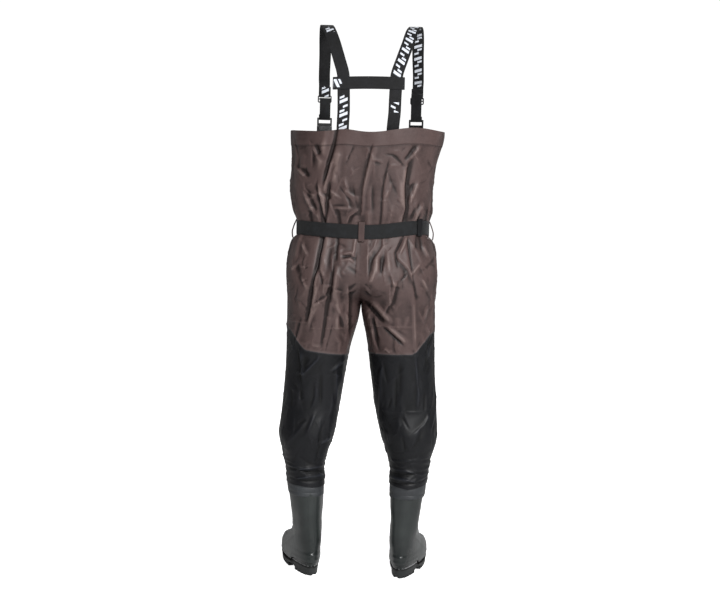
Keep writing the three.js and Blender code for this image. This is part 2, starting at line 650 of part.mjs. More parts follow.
// The free end of the belt comes up through the plug's slot, over its bar and back along the belt.
function beltTail() {
  const over = [[-14, -0.8], [-14.6, 2], [-17, 3.7], [-26, 3.7]];
  const flat = [[-32, 0.4], [-38, -1.2], [-60, -1.2], [-82, -1.2]];
  const place = ([x, y]) => new THREE.Vector3(buckleMeet + x, beltFlat + y, waistHeight);
  const run = [...over, ...flat].map(place);
  return band(run, up, beltWidth, webbing);
}

const ahead = new THREE.Vector3(1, 0, 0);
add("belt_webbing", beltWebbing(), beltCloth);
add("belt_tail", beltTail(), beltCloth);
const buckle = new THREE.Vector3(buckleMeet, beltFlat, waistHeight);
add("belt_plug", seat(plug(beltWidth), buckle, down, ahead), plastic);
add("belt_socket", seat(socket(beltWidth), buckle, down, ahead), plastic);

// Keeper that slides along the belt: a flat sleeve, on the wearer's right behind the hip.
const keeperAround = 0.345;
const keeperLength = 18;
const keeperWall = 1.9;
function beltKeeper() {
  const [before, middle, after] = [-0.012, 0, 0.012].map((d) => onBelt(keeperAround + d));
  const along = after.clone().sub(before).normalize();
  const out = new THREE.Vector3(-along.y, along.x, 0);
  const hole = eased(webbing + 2.6, beltWidth + 2, 0.4).reverse();
  const sleeve = plate(eased(webbing + 2.6 + 2 * keeperWall, beltWidth + 10, 2), keeperLength, [hole]);
  return seat(sleeve, middle, out, up);
}
add("belt_keeper", beltKeeper(), plastic);

// Belt loops: narrow cloth strips sewn above and below the belt. bulge is how far each stands off.
const loopWidth = 14;
const loopAbove = 9;
const loopBelow = 28;
function beltLoop(around, bulge) {
  const low = waistHeight - beltWidth / 2 - loopBelow;
  const high = waistHeight + beltWidth / 2 + loopAbove;
  const full = [loopBelow - 3, loopBelow + beltWidth + 3].map((d) => d / (high - low));
  const stops = [0, 0.1, 0.2].map((share) => [share, mix(3.4, bulge, (share / full[0]) ** 2)]);
  stops.push([full[0], bulge], [mix(...full, 0.5), bulge + 1], [full[1], bulge], [1, 4.6]);
  const centred = around === 1;
  const spread = 0.01;
  const side = onGarment(Math.min(around + spread, 1), waistHeight);
  side.sub(onGarment(around - spread, waistHeight));
  if (centred) side.set(1, 0, 0);
  const out = new THREE.Vector3(-side.y, side.x, 0).normalize();
  if (out.dot(onGarment(around, waistHeight)) < 0) out.negate();
  const run = stops.map(([share, d]) => {
    const p = onGarment(around, mix(low, high, share)).addScaledVector(out, d);
    return centred ? p.setX(0) : p;
  });
  return band(run, side, loopWidth, 1.2);
}
add("belt_loop_back", beltLoop(1, 8), brown);
for (const [name, side] of sides) add(`belt_loop_${name}`, mirrored(beltLoop(0.5, 13), side), brown);

// ---------------------------------------------------------------- origin
const tops = new THREE.Box3().setFromObject(waders.getObjectByName("suspender_right"));
waders.position.z = -tops.max.z;

export default waders;
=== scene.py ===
import json
import math
import bmesh
import bpy
import numpy as np
from mathutils import Matrix, Vector

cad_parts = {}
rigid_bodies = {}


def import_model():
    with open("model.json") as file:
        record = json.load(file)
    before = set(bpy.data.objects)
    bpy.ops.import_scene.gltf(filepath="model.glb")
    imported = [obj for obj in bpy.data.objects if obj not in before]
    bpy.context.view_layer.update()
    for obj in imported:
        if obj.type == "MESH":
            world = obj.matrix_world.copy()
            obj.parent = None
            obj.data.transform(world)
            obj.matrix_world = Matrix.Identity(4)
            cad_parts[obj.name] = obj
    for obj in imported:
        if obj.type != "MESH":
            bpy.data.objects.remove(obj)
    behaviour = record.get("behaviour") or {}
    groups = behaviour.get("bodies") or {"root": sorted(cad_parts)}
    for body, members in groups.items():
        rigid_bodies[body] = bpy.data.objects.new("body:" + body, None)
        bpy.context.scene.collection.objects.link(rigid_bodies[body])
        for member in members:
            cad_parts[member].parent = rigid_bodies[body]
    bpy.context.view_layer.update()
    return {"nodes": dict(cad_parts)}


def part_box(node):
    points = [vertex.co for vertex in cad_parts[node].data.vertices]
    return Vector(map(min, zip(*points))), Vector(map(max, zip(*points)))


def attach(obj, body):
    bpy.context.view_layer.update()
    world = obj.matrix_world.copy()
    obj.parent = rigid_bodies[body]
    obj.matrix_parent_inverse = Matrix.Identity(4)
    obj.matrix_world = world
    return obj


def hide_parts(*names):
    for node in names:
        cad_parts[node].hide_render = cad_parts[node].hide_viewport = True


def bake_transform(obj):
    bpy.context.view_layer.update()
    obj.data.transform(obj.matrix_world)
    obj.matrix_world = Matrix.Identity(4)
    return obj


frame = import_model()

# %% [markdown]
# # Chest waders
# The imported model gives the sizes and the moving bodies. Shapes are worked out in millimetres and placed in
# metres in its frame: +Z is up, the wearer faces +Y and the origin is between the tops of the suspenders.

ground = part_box("boot_outsole_left")[0][2]


def up(millimetres):
    """Row height of a point that many millimetres above the ground: ground + height / 1000."""
    return ground + np.asarray(millimetres, float) / 1000


# %% [markdown]
# ## Camera and light
# A long lens from 4.5 m away, held above the belt and tilted down, keeps the legs nearly parallel. The light
# is a studio one: a big soft lamp high beside the camera, a weak one below it, a faint one at each edge, one
# in front of the wearer, and a dim room that looks white to the camera.

# %% Camera
camera = bpy.data.objects.new("camera", bpy.data.cameras.new("camera"))
bpy.context.scene.collection.objects.link(camera)
bpy.context.scene.camera = camera
camera.data.lens = 77.6
camera.data.sensor_width = 36
camera.data.clip_end = 60
side_step, tilt, roll, pan = (math.radians(a) for a in (1.7, -5.6, 1.36, 0.04))
away, camera_height = 4.5, 1250
camera.matrix_world = (
    Matrix.Translation((away * math.sin(side_step), -away * math.cos(side_step), float(up(camera_height))))
    @ Matrix.Rotation(side_step + pan, 4, "Z")
    @ Matrix.Rotation(math.radians(90) + tilt, 4, "X")
    @ Matrix.Rotation(roll, 4, "Z")
)
print("camera at", [round(x, 3) for x in camera.matrix_world.translation])


# %% Lamps, room and floor
def lamp(name, place, size, power):
    """A square soft lamp at a place, turned to the middle of the waders."""
    data = bpy.data.lights.new(name, "AREA")
    data.energy = power
    data.size = size
    made = bpy.data.objects.new(name, data)
    bpy.context.scene.collection.objects.link(made)
    towards = np.array([0, 0, float(up(850))]) - np.array(place)
    turn = Vector(towards).to_track_quat("-Z", "Y").to_matrix().to_4x4()
    made.matrix_world = Matrix.Translation(place) @ turn


lamp("key_lamp", (1.3, -3.3, float(up(2900))), 0.9, 150)
lamp("fill_lamp", (2.4, -3.0, float(up(1500))), 1.0, 22)
lamp("left_rim_lamp", (-3.4, 1.6, float(up(1500))), 1.2, 7)
lamp("right_rim_lamp", (3.2, 2.0, float(up(1700))), 1.2, 7)
lamp("front_lamp", (0.6, 3.6, float(up(2500))), 1.2, 60)
world = bpy.data.worlds.new("room")
bpy.context.scene.world = world
world.use_nodes = True
room = world.node_tree.nodes["Background"]
seen = world.node_tree.nodes.new("ShaderNodeLightPath")
level = world.node_tree.nodes.new("ShaderNodeMapRange")
level.inputs["To Min"].default_value = 0.15
level.inputs["To Max"].default_value = 1.05
world.node_tree.links.new(seen.outputs["Is Camera Ray"], level.inputs["Value"])
world.node_tree.links.new(level.outputs[0], room.inputs["Strength"])
room.inputs["Color"].default_value = (1, 1, 1, 1)
bpy.context.scene.view_settings.view_transform = "Standard"

bpy.ops.mesh.primitive_plane_add(size=30, location=(0, 0, ground - 0.0002))
floor = bpy.context.object
floor.name = "floor"
floor_paint = bpy.data.materials.new("floor_paint")
floor_paint.use_nodes = True
white = floor_paint.node_tree.nodes["Principled BSDF"].inputs
white["Base Color"].default_value = (0.82, 0.82, 0.82, 1)
white["Roughness"].default_value = 0.9
white["Emission Color"].default_value = (1, 1, 1, 1)
lit = floor_paint.node_tree.nodes.new("ShaderNodeLightPath")
floor_paint.node_tree.links.new(lit.outputs["Is Camera Ray"], white["Emission Strength"])
floor.data.materials.append(floor_paint)


# %% [markdown]
# ## Materials written as sums
# A finish is a small network of nodes. Wrapping each socket in a class with + - * / lets a finish be written
# as ordinary arithmetic, which is easier to read than a list of links.

# %% A socket that can be added and multiplied
class Value:
    """One number, vector or colour inside a finish."""

    def __init__(self, finish, socket):
        self.finish = finish
        self.socket = socket

    def combine(self, operation, other, swapped=False):
        pair = (other, self) if swapped else (self, other)
        return self.finish.node("ShaderNodeMath", {"operation": operation}, {0: pair[0], 1: pair[1]})

    def __add__(self, other):
        return self.combine("ADD", other)

    def __radd__(self, other):
        return self.combine("ADD", other, True)

    def __sub__(self, other):
        return self.combine("SUBTRACT", other)

    def __rsub__(self, other):
        return self.combine("SUBTRACT", other, True)

    def __mul__(self, other):
        return self.combine("MULTIPLY", other)

    def __truediv__(self, other):
        return self.combine("DIVIDE", other)

    def of(self, operation, other=0.0):
        """Any other Math operation, such as SINE, FRACT, ABSOLUTE or LESS_THAN."""
        return self.combine(operation, other)

    def ramp(self, low, high):
        """0 below low, 1 above high, and smooth between."""
        limits = {"Value": self, "From Min": low, "From Max": high}
        return self.finish.node("ShaderNodeMapRange", {"interpolation_type": "SMOOTHSTEP"}, limits)


class Finish:
    """A material with one main shader. node() adds a node and returns one of its outputs."""

    def __init__(self, name, **constants):
        self.material = bpy.data.materials.new(name)
        self.material.use_nodes = True
        self.nodes = self.material.node_tree.nodes
        self.links = self.material.node_tree.links
        self.shader = self.nodes["Principled BSDF"]
        for socket, value in constants.items():
            self.shader.inputs[socket.replace("_", " ")].default_value = value

    def node(self, kind, settings=None, inputs=None, output=0):
        made = self.nodes.new(kind)
        for key, value in (settings or {}).items():
            setattr(made, key, value)
        for key, value in (inputs or {}).items():
            self.put(made.inputs[key], value)
        if kind == "ShaderNodeMix":
            output = 2
        return Value(self, made.outputs[output])

    def put(self, socket, value):
        if isinstance(value, Value):
            self.links.new(value.socket, socket)
        elif isinstance(value, tuple) and len(value) == 3 and socket.type == "RGBA":
            socket.default_value = (*value, 1)
        else:
            socket.default_value = value

    def mix(self, factor, first, second):
        """first where factor is 0, second where it is 1."""
        return self.node("ShaderNodeMix", {"data_type": "RGBA"}, {0: factor, 6: first, 7: second})

    def place(self):
        """Object coordinates, in metres."""
        return self.node("ShaderNodeTexCoord", output=3)

    def along(self):
        """The piece's own UV map, in metres: across or round the piece, then along it."""
        split = self.node("ShaderNodeSeparateXYZ", {}, {0: self.node("ShaderNodeTexCoord", output=2)})
        return split, Value(self, split.socket.node.outputs[1])

    def number(self, name):
        """A number that the mesh carries at each point."""
        return self.node("ShaderNodeAttribute", {"attribute_name": name}, {}, 2)

    def stretched(self, vector, rotation, squash):
        """Coordinates turned and squashed along one axis, so that a noise is drawn out along it."""
        inputs = {"Vector": vector, "Rotation": rotation, "Scale": (1, 1, squash)}
        return self.node("ShaderNodeMapping", {}, inputs)

    def noise(self, vector, scale, detail=3.0, kind="FBM", rough=0.5):
        settings = {"noise_type": kind, "normalize": True}
        inputs = {"Vector": vector, "Scale": scale, "Detail": detail, "Roughness": rough}
        return self.node("ShaderNodeTexNoise", settings, inputs)

    def end(self, colour=None, roughness=None, height=None):
        """Links what varies: colour, roughness, and a height in metres for the bump."""
        if colour is not None:
            self.put(self.shader.inputs["Base Color"], colour)
        if roughness is not None:
            self.put(self.shader.inputs["Roughness"], roughness)
        if height is not None:
            bump = self.node("ShaderNodeBump", {}, {"Height": height, "Distance": 1.0})
            self.put(self.shader.inputs["Normal"], bump)
        return self.material


def paint(red, green, blue):
    """A colour given as 0 to 255 on a screen, turned into linear light: ((c + 0.055) / 1.055) ^ 2.4."""
    return tuple(float(((c / 255 + 0.055) / 1.055) ** 2.4) for c in (red, green, blue))


# %% [markdown]
# ## Coated cloth
# The cloth is nylon with a thin rubbery coat. Its folds are made in the mesh, and the finish adds what is
# too small for it: faint creases left by packing, mottling, a fine weave, and the stitch line of the hem.
# The mesh carries a "relief" number for each point, high on ridges and low in folds; it paints the ridges
# lighter, a painted highlight, and the folds darker, a painted shade. The crease noise lightens the colour
# along its lines too, a painted highlight.

# %% Cloth finish
stitch_height = 1256  # of the hem, above the ground, in mm


def cloth_finish(name, dark, middle, light, hem=False):
    """Colour runs dark, middle, light with relief, which paints highlight on ridges and shade in folds, plus
    mottling; bump is creases + weave + weld + stitches.
    """
    f = Finish(name, Specular_IOR_Level=0.36, IOR=1.45)
    across, along = f.along()
    place = f.place()
    relief = f.number("relief")
    mottle = f.noise(place, 7.0, 4.0)
    fine = f.noise(place, 90.0, 3.0)
    crackle = f.noise(place, 26.0, 5.0, "RIDGED_MULTIFRACTAL", 0.6)
    hanging = f.stretched(place, (0, 0.22, 0), 0.3)
    leaning = f.stretched(place, (0.3, 0.9, 0), 0.25)
    long_creases = f.noise(hanging, 11.0, 4.0, "RIDGED_MULTIFRACTAL", 0.55)
    cross_creases = f.noise(leaning, 9.0, 4.0, "RIDGED_MULTIFRACTAL", 0.55)
    # relief and the long creases give painted highlight on ridges and painted shade in folds; mottle and fine
    # are the cloth's own uneven tone
    tone = relief * 0.75 + (mottle - 0.5) * 0.8 + (fine - 0.5) * 0.3 + (long_creases - 0.4) * 0.5
    colour = f.mix(tone.ramp(-0.75, 0.0), dark, middle)
    colour = f.mix(tone.ramp(0.1, 0.95), colour, light)
    weave = (across * 3600.0).of("SINE") * (along * 3600.0).of("SINE")
    creases = crackle * 0.0011 + long_creases * 0.014 + cross_creases * 0.011
    height = creases + fine * 0.0004 + weave * 0.00002
    weld = f.number("welded")
    colour = f.mix(weld * 0.4, colour, paint(78, 78, 80))
    height = height + weld * 0.0004
    if hem:
        stitch = (along - stitch_height / 1000).of("ABSOLUTE")
        thread = (across * 180.0).of("FRACT").ramp(0.3, 0.4) * (1 - stitch.ramp(0.0004, 0.001))
        height = height + (1 - stitch.ramp(0.0006, 0.003)) * -0.0006 + thread * 0.0005
        colour = f.mix((1 - stitch.ramp(0.0008, 0.004)) * 0.45, colour, dark)
    roughness = 0.5 + (mottle - 0.5) * 0.2 - relief * 0.04
    return f.end(colour, roughness, height)


# each cloth has three paints: the dark one is painted shade for folds, the light one a painted highlight for
# ridges
brown_paints = paint(36, 27, 26), paint(84, 68, 66), paint(114, 97, 93)
brown = cloth_finish("brown_cloth", *brown_paints, hem=True)
black = cloth_finish("black_cloth", paint(6, 7, 9), paint(15, 16, 20), paint(34, 36, 42))
loop_cloth = cloth_finish("loop_cloth", *brown_paints)
print("cloth finishes:", brown.name, black.name)


# %% [markdown]
# ## The garment's outline
# At each height the right half of the garment is a superellipse. Above the crotch it runs past the centre
# plane and is cut there; below, it is the whole leg. The widths come from landmarks with a smooth curve
# through them.

# %% Landmarks
landmarks = np.array([
    # height, outer, inner, half depth, set back
    [262, 203, 99, 65, 5],
    [300, 208, 98, 67, 6],
    [344, 215, 92, 69, 6],
    [413, 231, 70, 84, 8],
    [500, 224, 55, 85, -4],
    [653, 215, 32, 100, -5],
    [806, 215, 0, 126, 0],
    [890, 219, 0, 139, 8],
    [936, 216, 0, 130, 5],
    [968, 210, 0, 122, 2],
    [984, 203, 0, 119, 0],
    [996, 191, 0, 117, 0],
    [1008, 188, 0, 117, 0],
    [1028, 188, 0, 117, 0],
    [1042, 193, 0, 120, 0],
    [1066, 201, 0, 127, 0],
    [1120, 205, 0, 132, 0],
    [1200, 208, 0, 136, 0],
    [1296, 219, 0, 141, 0],
], float)
crotch, crotch_top = 806.0, 900.0
belt_middle = 1016


def through(table, column, height):
    """Cubic through a landmark column; its slope is the mean of its neighbours', and level at a turning."""
    h, v = table[:, 0], table[:, column]
    steep = np.diff(v) / np.diff(h)
    middle = (v[2:] - v[:-2]) / (h[2:] - h[:-2])
    slope = np.concatenate([[0], np.where(steep[1:] * steep[:-1] > 0, middle, 0), [0]])
    i = np.clip(np.searchsorted(h, height) - 1, 0, len(h) - 2)
    span = h[i + 1] - h[i]
    t = np.clip((height - h[i]) / span, 0, 1)
    rise = (2 * t**3 - 3 * t**2 + 1) * v[i] + (3 * t**2 - 2 * t**3) * v[i + 1]
    return rise + ((t**3 - 2 * t**2 + t) * slope[i] + (t**3 - t**2) * slope[i + 1]) * span


def power(v, e):
    """The size of v to the power e, with the sign of v."""
    return np.sign(v) * np.abs(v) ** e


def smooth(t):
    """0 below 0, 1 above 1, and t^2 (3 - 2 t) between."""
    t = np.clip(t, 0, 1)
    return t * t * (3 - 2 * t)


def hump(v, centre, width, flat=2):
    """A rounded hump 1 high: exp(-((v - centre) / width)^flat). A higher flat gives a flatter top."""
    return np.exp(-(((v - centre) / width) ** flat))


def half_outline(height, samples=361):
    """Points of the right half from the back centre, by the outside, to the front centre, for each height:
    x = centre + half cos^(2/p), y = deep sin^(2/p) - back. p goes from 2.4 above the crotch to 2.05 below."""
    height = np.asarray(height, float)[:, None]
    outer, inner, deep, back = (through(landmarks, c, height) for c in (1, 2, 3, 4))
    parted = smooth((crotch_top - height) / (crotch_top - crotch))
    below = height < crotch
    half = np.where(below, (outer - inner) / 2, outer / (1 + parted))
    centre = np.where(below, (outer + inner) / 2, outer - half)
    p = 2.4 + (2.05 - 2.4) * parted
    sweep = np.arccos(-np.minimum(centre / half, 1) ** (p / 2))
    angle = sweep * np.linspace(-1, 1, samples)[None, :]
    x = centre + half * power(np.cos(angle), 2 / p)
    x[:, 0] = np.where(below[:, 0], x[:, 0], 0)
    x[:, -1] = np.where(below[:, 0], x[:, -1], 0)
    y = deep * power(np.sin(angle), 2 / p) - back
    return np.stack([x, y], -1)


def even(line, columns):
    """The same outlines with points evenly spaced along each, and the distance along them."""
    step = np.linalg.norm(np.diff(line, axis=1), axis=2)
    run = np.concatenate([np.zeros((len(line), 1)), np.cumsum(step, axis=1)], axis=1)
    share = np.linspace(0, 1, columns)
    made = np.empty((len(line), columns, 2))
    for row in range(len(line)):  # np.interp takes one outline at a time
        for axis in (0, 1):
            made[row, :, axis] = np.interp(share * run[row, -1], run[row], line[row, :, axis])
    return made, share[None, :] * run[:, -1:]


def belt_lift(x, y):
    """The belt sags 2 mm at the back and rides up 12 mm on the wearer's right and 3 mm on the left."""
    sides = 12 * smooth((x - 30) / 140) + 3 * smooth((-x - 60) / 120)
    return sides * smooth((40 - y) / 120) - 2 * hump(x, 0, 60) * smooth(-y / 40)


print("waist", half_outline([belt_middle])[0, 180].round(1), "thigh", half_outline([700.0])[0, 180].round(1))


# %% [markdown]
# ## Folds
# A fold is a line drawn on the cloth, with a width and a rise. Ridges and valleys are rounded bumps across
# that line, and a pleat steps from low to high where cloth is tucked over itself. The main folds are listed
# one by one, and many small ones are scattered with a fixed seed.

# %% Fold shapes
def fold(q, h, path, width, rise, kind="ridge", ends=(0.0, 0.0)):
    """Distance d and share t along a path of (across, height) points in mm; the height added is
    rise * profile(d / width) * taper(t)."""
    path = np.array(path, float)
    nearest = np.full(q.shape, 1e9)
    side = np.zeros(q.shape)
    share = np.zeros(q.shape)
    legs = np.linalg.norm(np.diff(path, axis=0), axis=1)
    total, before = legs.sum(), 0.0
    for start, leg, length in zip(path[:-1], np.diff(path, axis=0), legs):
        ax, ay = q - start[0], h - start[1]
        t = np.clip((ax * leg[0] + ay * leg[1]) / length**2, 0, 1)
        d = np.hypot(ax - t * leg[0], ay - t * leg[1])
        closer = d < nearest
        nearest = np.where(closer, d, nearest)
        side = np.where(closer, np.sign(ax * leg[1] - ay * leg[0]), side)
        share = np.where(closer, (before + t * length) / total, share)
        before += length
    fade = 0.35  # share of the path over which a free end fades out
    taper = smooth(np.minimum(ends[0] + share / fade, ends[1] + (1 - share) / fade))
    d = nearest / width
    if kind == "pleat":
        return rise * taper * np.tanh(side * d * 2.5) * np.exp(-((d / 2.2) ** 2))
    if kind == "crease":
        return rise * taper * np.exp(-1.6 * d)
    return rise * taper * np.exp(-(d**2))


def scattered(q, h, chance, count, zone, lean, spread, length, width, rise):
    """count folds in zone = (q0, q1, h0, h1), each a short bent line that leans by lean +- spread degrees."""
    total = np.zeros(q.shape)
    for _ in range(count):
        start = np.array([chance.uniform(zone[0], zone[1]), chance.uniform(zone[2], zone[3])])
        turn = math.radians(chance.normal(lean, spread))
        long = chance.uniform(*length)
        step = long / 2 * np.array([math.sin(turn), -math.cos(turn)])
        bend = chance.normal(0, 0.16) * np.array([step[1], -step[0]])
        wide, high = chance.uniform(*width), chance.uniform(0.35, 1) * rise * chance.choice([-1, 1, 1])
        kind = chance.choice(["ridge", "crease", "pleat"], p=[0.4, 0.4, 0.2])
        reach = long / 2 + 4 * wide
        near = (np.abs(q - start[0]) < reach) & (np.abs(h - start[1]) < reach)
        if near.any():
            path = [start - step, start + bend, start + step]
            total[near] += fold(q[near], h[near], path, wide, high, kind)
    return total


# %% [markdown]
# ## From a surface to a piece
# A cloth piece is a grid of points, moved along its normals by the folds. The outer face, an inner face
# 1.2 mm behind it and a rim make a closed piece, and the normals of the whole garment are kept where it
# is split, so that no line shows there.

# %% Grid helpers
def grid_normals(p, closed_rows=None, ring=False):
    """Cross product of the differences along rows and columns."""
    if ring:
        du = np.roll(p, -1, 1) - np.roll(p, 1, 1)
    else:
        du = np.gradient(p, axis=1)
        if closed_rows is not None:
            wrap = p[closed_rows, 1] - p[closed_rows, -2]
            du[closed_rows, 0] = wrap
            du[closed_rows, -1] = wrap
    n = np.cross(du, np.gradient(p, axis=0))
    return n / np.maximum(np.linalg.norm(n, axis=2, keepdims=True), 1e-12)


def softened(values, times, ring=False):
    """Average with the neighbours, a number of times."""
    for _ in range(times):
        if ring:
            padded = np.concatenate([values[:, -1:], values, values[:, :1]], 1)
        else:
            padded = np.concatenate([values[:, :1], values, values[:, -1:]], 1)
        values = (padded[:, :-2] + 2 * values + padded[:, 2:]) / 4
        tall = np.concatenate([values[:1], values, values[-1:]], 0)
        values = (tall[:-2] + 2 * values + tall[2:]) / 4
    return values


def squares(grid, flip=False):
    """For every square of a grid, the entries at its four corners, in order round it."""
    low, high = slice(None, -1), slice(1, None)
    around = [(low, low), (low, high), (high, high), (high, low)]
    return [grid[a] for a in (around[::-1] if flip else around)]


def mesh_object(name, corners, faces, finish, uv=None, normals=None, numbers=()):
    """Puts corners and quads into a mesh by whole arrays. uv holds one pair for each face corner."""
    mesh = bpy.data.meshes.new(name)
    mesh.vertices.add(len(corners))
    mesh.vertices.foreach_set("co", np.asarray(corners, np.float32).ravel())
    mesh.loops.add(faces.size)
    mesh.loops.foreach_set("vertex_index", faces.ravel().astype(np.int32))
    mesh.polygons.add(len(faces))
    mesh.polygons.foreach_set("loop_start", np.arange(0, faces.size, faces.shape[1], dtype=np.int32))
    mesh.polygons.foreach_set("use_smooth", np.ones(len(faces), bool))
    if uv is not None:
        layer = mesh.uv_layers.new(name="UVMap")
        layer.data.foreach_set("uv", np.asarray(uv, np.float32).ravel())
    for key, values in numbers:
        attribute = mesh.attributes.new(key, "FLOAT", "POINT")
        attribute.data.foreach_set("value", np.asarray(values, np.float32).ravel())
    mesh.update()
    mesh.validate()
    if normals is not None:
        mesh.normals_split_custom_set_from_vertices(np.asarray(normals, float).tolist())
    mesh.materials.append(finish)
    made = bpy.data.objects.new(name, mesh)
    bpy.context.scene.collection.objects.link(made)
    return made


def walled(name, p, n, q, h, finish, thick=0.0012, closed_rows=None, ring=False, relief=None, welded=None):
    """Closed cloth from a grid: outer face, inner face moved in by thick, and a rim where edges are free."""
    rows, cols = p.shape[:2]
    index = np.arange(rows * cols).reshape(rows, cols)
    if ring:
        index = np.concatenate([index, index[:, :1]], 1)
        q = np.concatenate([q, 2 * q[:, -1:] - q[:, -2:-1]], 1)
        h = np.concatenate([h, h[:, :1]], 1)
    elif closed_rows is not None:
        index[closed_rows, -1] = index[closed_rows, 0]
    quads = np.stack(squares(index), -1).reshape(-1, 4)
    uv = np.stack(squares(np.stack([q, h], -1)), -2).reshape(-1, 4, 2) / 1000
    edges = np.stack([quads, np.roll(quads, -1, 1)], -1).reshape(-1, 2)
    edge_uv = np.stack([uv, np.roll(uv, -1, 1)], -2).reshape(-1, 2, 2)
    key = np.sort(edges, 1) @ np.array([rows * cols, 1])
    _, first, count = np.unique(key, return_index=True, return_counts=True)
    free = first[count == 1]
    back = rows * cols
    rim = np.stack([edges[free, 1], edges[free, 0], edges[free, 0] + back, edges[free, 1] + back], -1)
    rim_uv = edge_uv[free][:, [1, 0, 0, 1]]
    faces = np.concatenate([quads, quads[:, ::-1] + back, rim])
    all_uv = np.concatenate([uv, uv[:, ::-1], rim_uv])
    outer, inner = p.reshape(-1, 3), (p - thick * n).reshape(-1, 3)
    used, compact = np.unique(faces, return_inverse=True)
    faces = compact.reshape(faces.shape)
    corners = np.concatenate([outer, inner])[used]
    normals = np.concatenate([n.reshape(-1, 3), -n.reshape(-1, 3)])[used]
    numbers = [(key, np.tile(np.ravel(values), 2)[used])
               for key, values in (("relief", relief), ("welded", welded)) if values is not None]
    return mesh_object(name, corners, faces, finish, all_uv, normals, numbers)


def relief_of(d, ring=False):
    """How far the folded surface stands above its softened self, scaled to about -1 to 1."""
    return np.clip((d - softened(d, 40, ring)) / 0.0022, -1.2, 1.2)


# %% [markdown]
# ## The bib
# One ring of cloth from the belt to the chest hem. It is pulled in by the belt, so folds run up from there. In
# real waders it is cut as four panels; here the centre seams are pressed into one surface, which keeps the
# shading whole.

# %% Bib
hem_top, pull_start = 1296, 1190  # between these heights the straps pull on the bib
bib_heights = np.linspace(1013, hem_top + 2, 104)
half, run = even(half_outline(bib_heights), 201)
ring_xy = np.concatenate([half, half[:, -2:0:-1] * [-1, 1]], 1)
girth = run[:, -1:]
back_q = np.concatenate([run, 2 * girth - run[:, -2:0:-1]], 1)  # distance from the back centre, to the right
back_q = np.where(back_q > girth, back_q - 2 * girth, back_q)
bib_h = np.broadcast_to(bib_heights[:, None], back_q.shape)
bib_p = np.concatenate([ring_xy, bib_h[..., None]], -1)

chance = np.random.default_rng(11)
d = np.zeros(back_q.shape)
# Each fold: kind, width, rise, how full it is at its two ends, then its points. A point is the share of the
# bib's half width, right of the centre seam, and the share of the way up from the belt to the hem's stitches.
belt_top, bib_half = 1036, 210
left_strap, right_strap = -0.4, 0.6
bib_folds = [
    # the left strap pulls one deep fold down to the belt, with softer ridges beside it
    ("ridge", 6, -7, (1, 0.3), [(left_strap, 1.2), (left_strap - 0.1, 0.5)]),
    ("ridge", 5, -7, (0, 1), [(left_strap, 0.6), (left_strap - 0.1, 0)]),
    ("ridge", 4, 3.5, (0, 0), [(left_strap, 0.9), (left_strap - 0.1, 0.35)]),
    ("ridge", 10, 4, (0, 0.4), [(left_strap + 0.05, 1), (left_strap + 0.05, 0.5)]),
    ("pleat", 4, -3.6, (0, 1), [(-0.6, 0.6), (-0.5, 0)]),
    ("ridge", 9, 3.6, (0.6, 0), [(-0.55, 1.2), (-0.6, 0.6)]),
    # the middle lies flat but for its seam and what the belt squeezes up
    ("pleat", 3, -2.8, (0.4, 0.5), [(0.1, 1), (0, 0.15)]),
    ("ridge", 6, 1.8, (0.3, 0.3), [(0.15, 1), (0.05, 0.4)]),
    ("ridge", 4, 3.2, (0, 0), [(-0.4, 0.2), (-0.1, 0.2)]),
    ("crease", 3, -2.8, (0, 0), [(-0.4, 0.23), (-0.2, 0.23)]),
    ("crease", 3, -2.4, (0, 0), [(-0.3, 0.5), (-0.1, 0.25)]),
    ("ridge", 4, 2.4, (0, 0), [(-0.45, 0.45), (-0.25, 0.3)]),
    ("pleat", 3.5, 3, (0, 0.3), [(0, 0.2), (-0.15, 0.1), (-0.2, 0)]),
    # right of it a long crease, a slanting one, and a pleat hanging from the right strap
    ("crease", 3.2, -4.2, (0.1, 1), [(0.35, 0.9), (0.25, 0)]),
    ("ridge", 7, 2.2, (0, 0.6), [(0.35, 0.7), (0.3, 0.1)]),
    ("crease", 3.5, -3.8, (0.1, 0.1), [(0.35, 0.9), (0.5, 0.8), (right_strap, 0.7)]),
    ("pleat", 5, 4.4, (0.2, 0.8), [(right_strap, 0.8), (right_strap, 0.2), (right_strap - 0.05, 0)]),
    ("ridge", 9, -3.4, (0.2, 0.6), [(right_strap + 0.05, 1), (right_strap, 0)]),
]
# the loose sides fall in short folds, each a ridge with its hollow beside it, that lean in towards the belt
for side, across, high, reach in ((-1, 0.75, 1.05, 0.25), (-1, 0.9, 0.7, 0.12), (-1, 0.8, 0.45, 0.35),
                                  (-1, 0.6, 0.4, 0.1), (1, 0.8, 0.6, 0.35), (1, 0.85, 0.3, 0.3),
                                  (1, 0.75, 1, 0.2)):
    top, foot = (side * across, high), (side * (across - 0.15), high - reach)
    hollow = [(x - side * 0.06, y) for x, y in (top, foot)]
    bib_folds += [("ridge", 4.5, 3.6, (0, 0.2), [top, foot]), ("ridge", 6, -3.2, (0, 0.2), hollow)]
bib_folds = [(*fold_sizes, [(x * bib_half, belt_top + y * (stitch_height - belt_top)) for x, y in points])
             for *fold_sizes, points in bib_folds]
bib_x, bib_y = ring_xy[..., 0], ring_xy[..., 1]
behind = np.clip((15 - bib_y) / 40, 0, 1)
in_front = np.clip((bib_y - 15) / 40, 0, 1)
for kind, width, rise, ends, path in bib_folds:
    d += behind * fold(bib_x, bib_h, path, width, rise, kind, ends)
    d += 0.85 * in_front * fold(-bib_x * 1.05, bib_h, path, width, rise, kind, ends)
zone = (-620, 620, 1040, 1250)
d += scattered(back_q, bib_h, chance, 110, zone, 4, 24, (40, 130), (3, 8), 2.4)
d += scattered(back_q, bib_h, chance, 170, zone, 30, 60, (16, 52), (2, 4.5), 1.5)
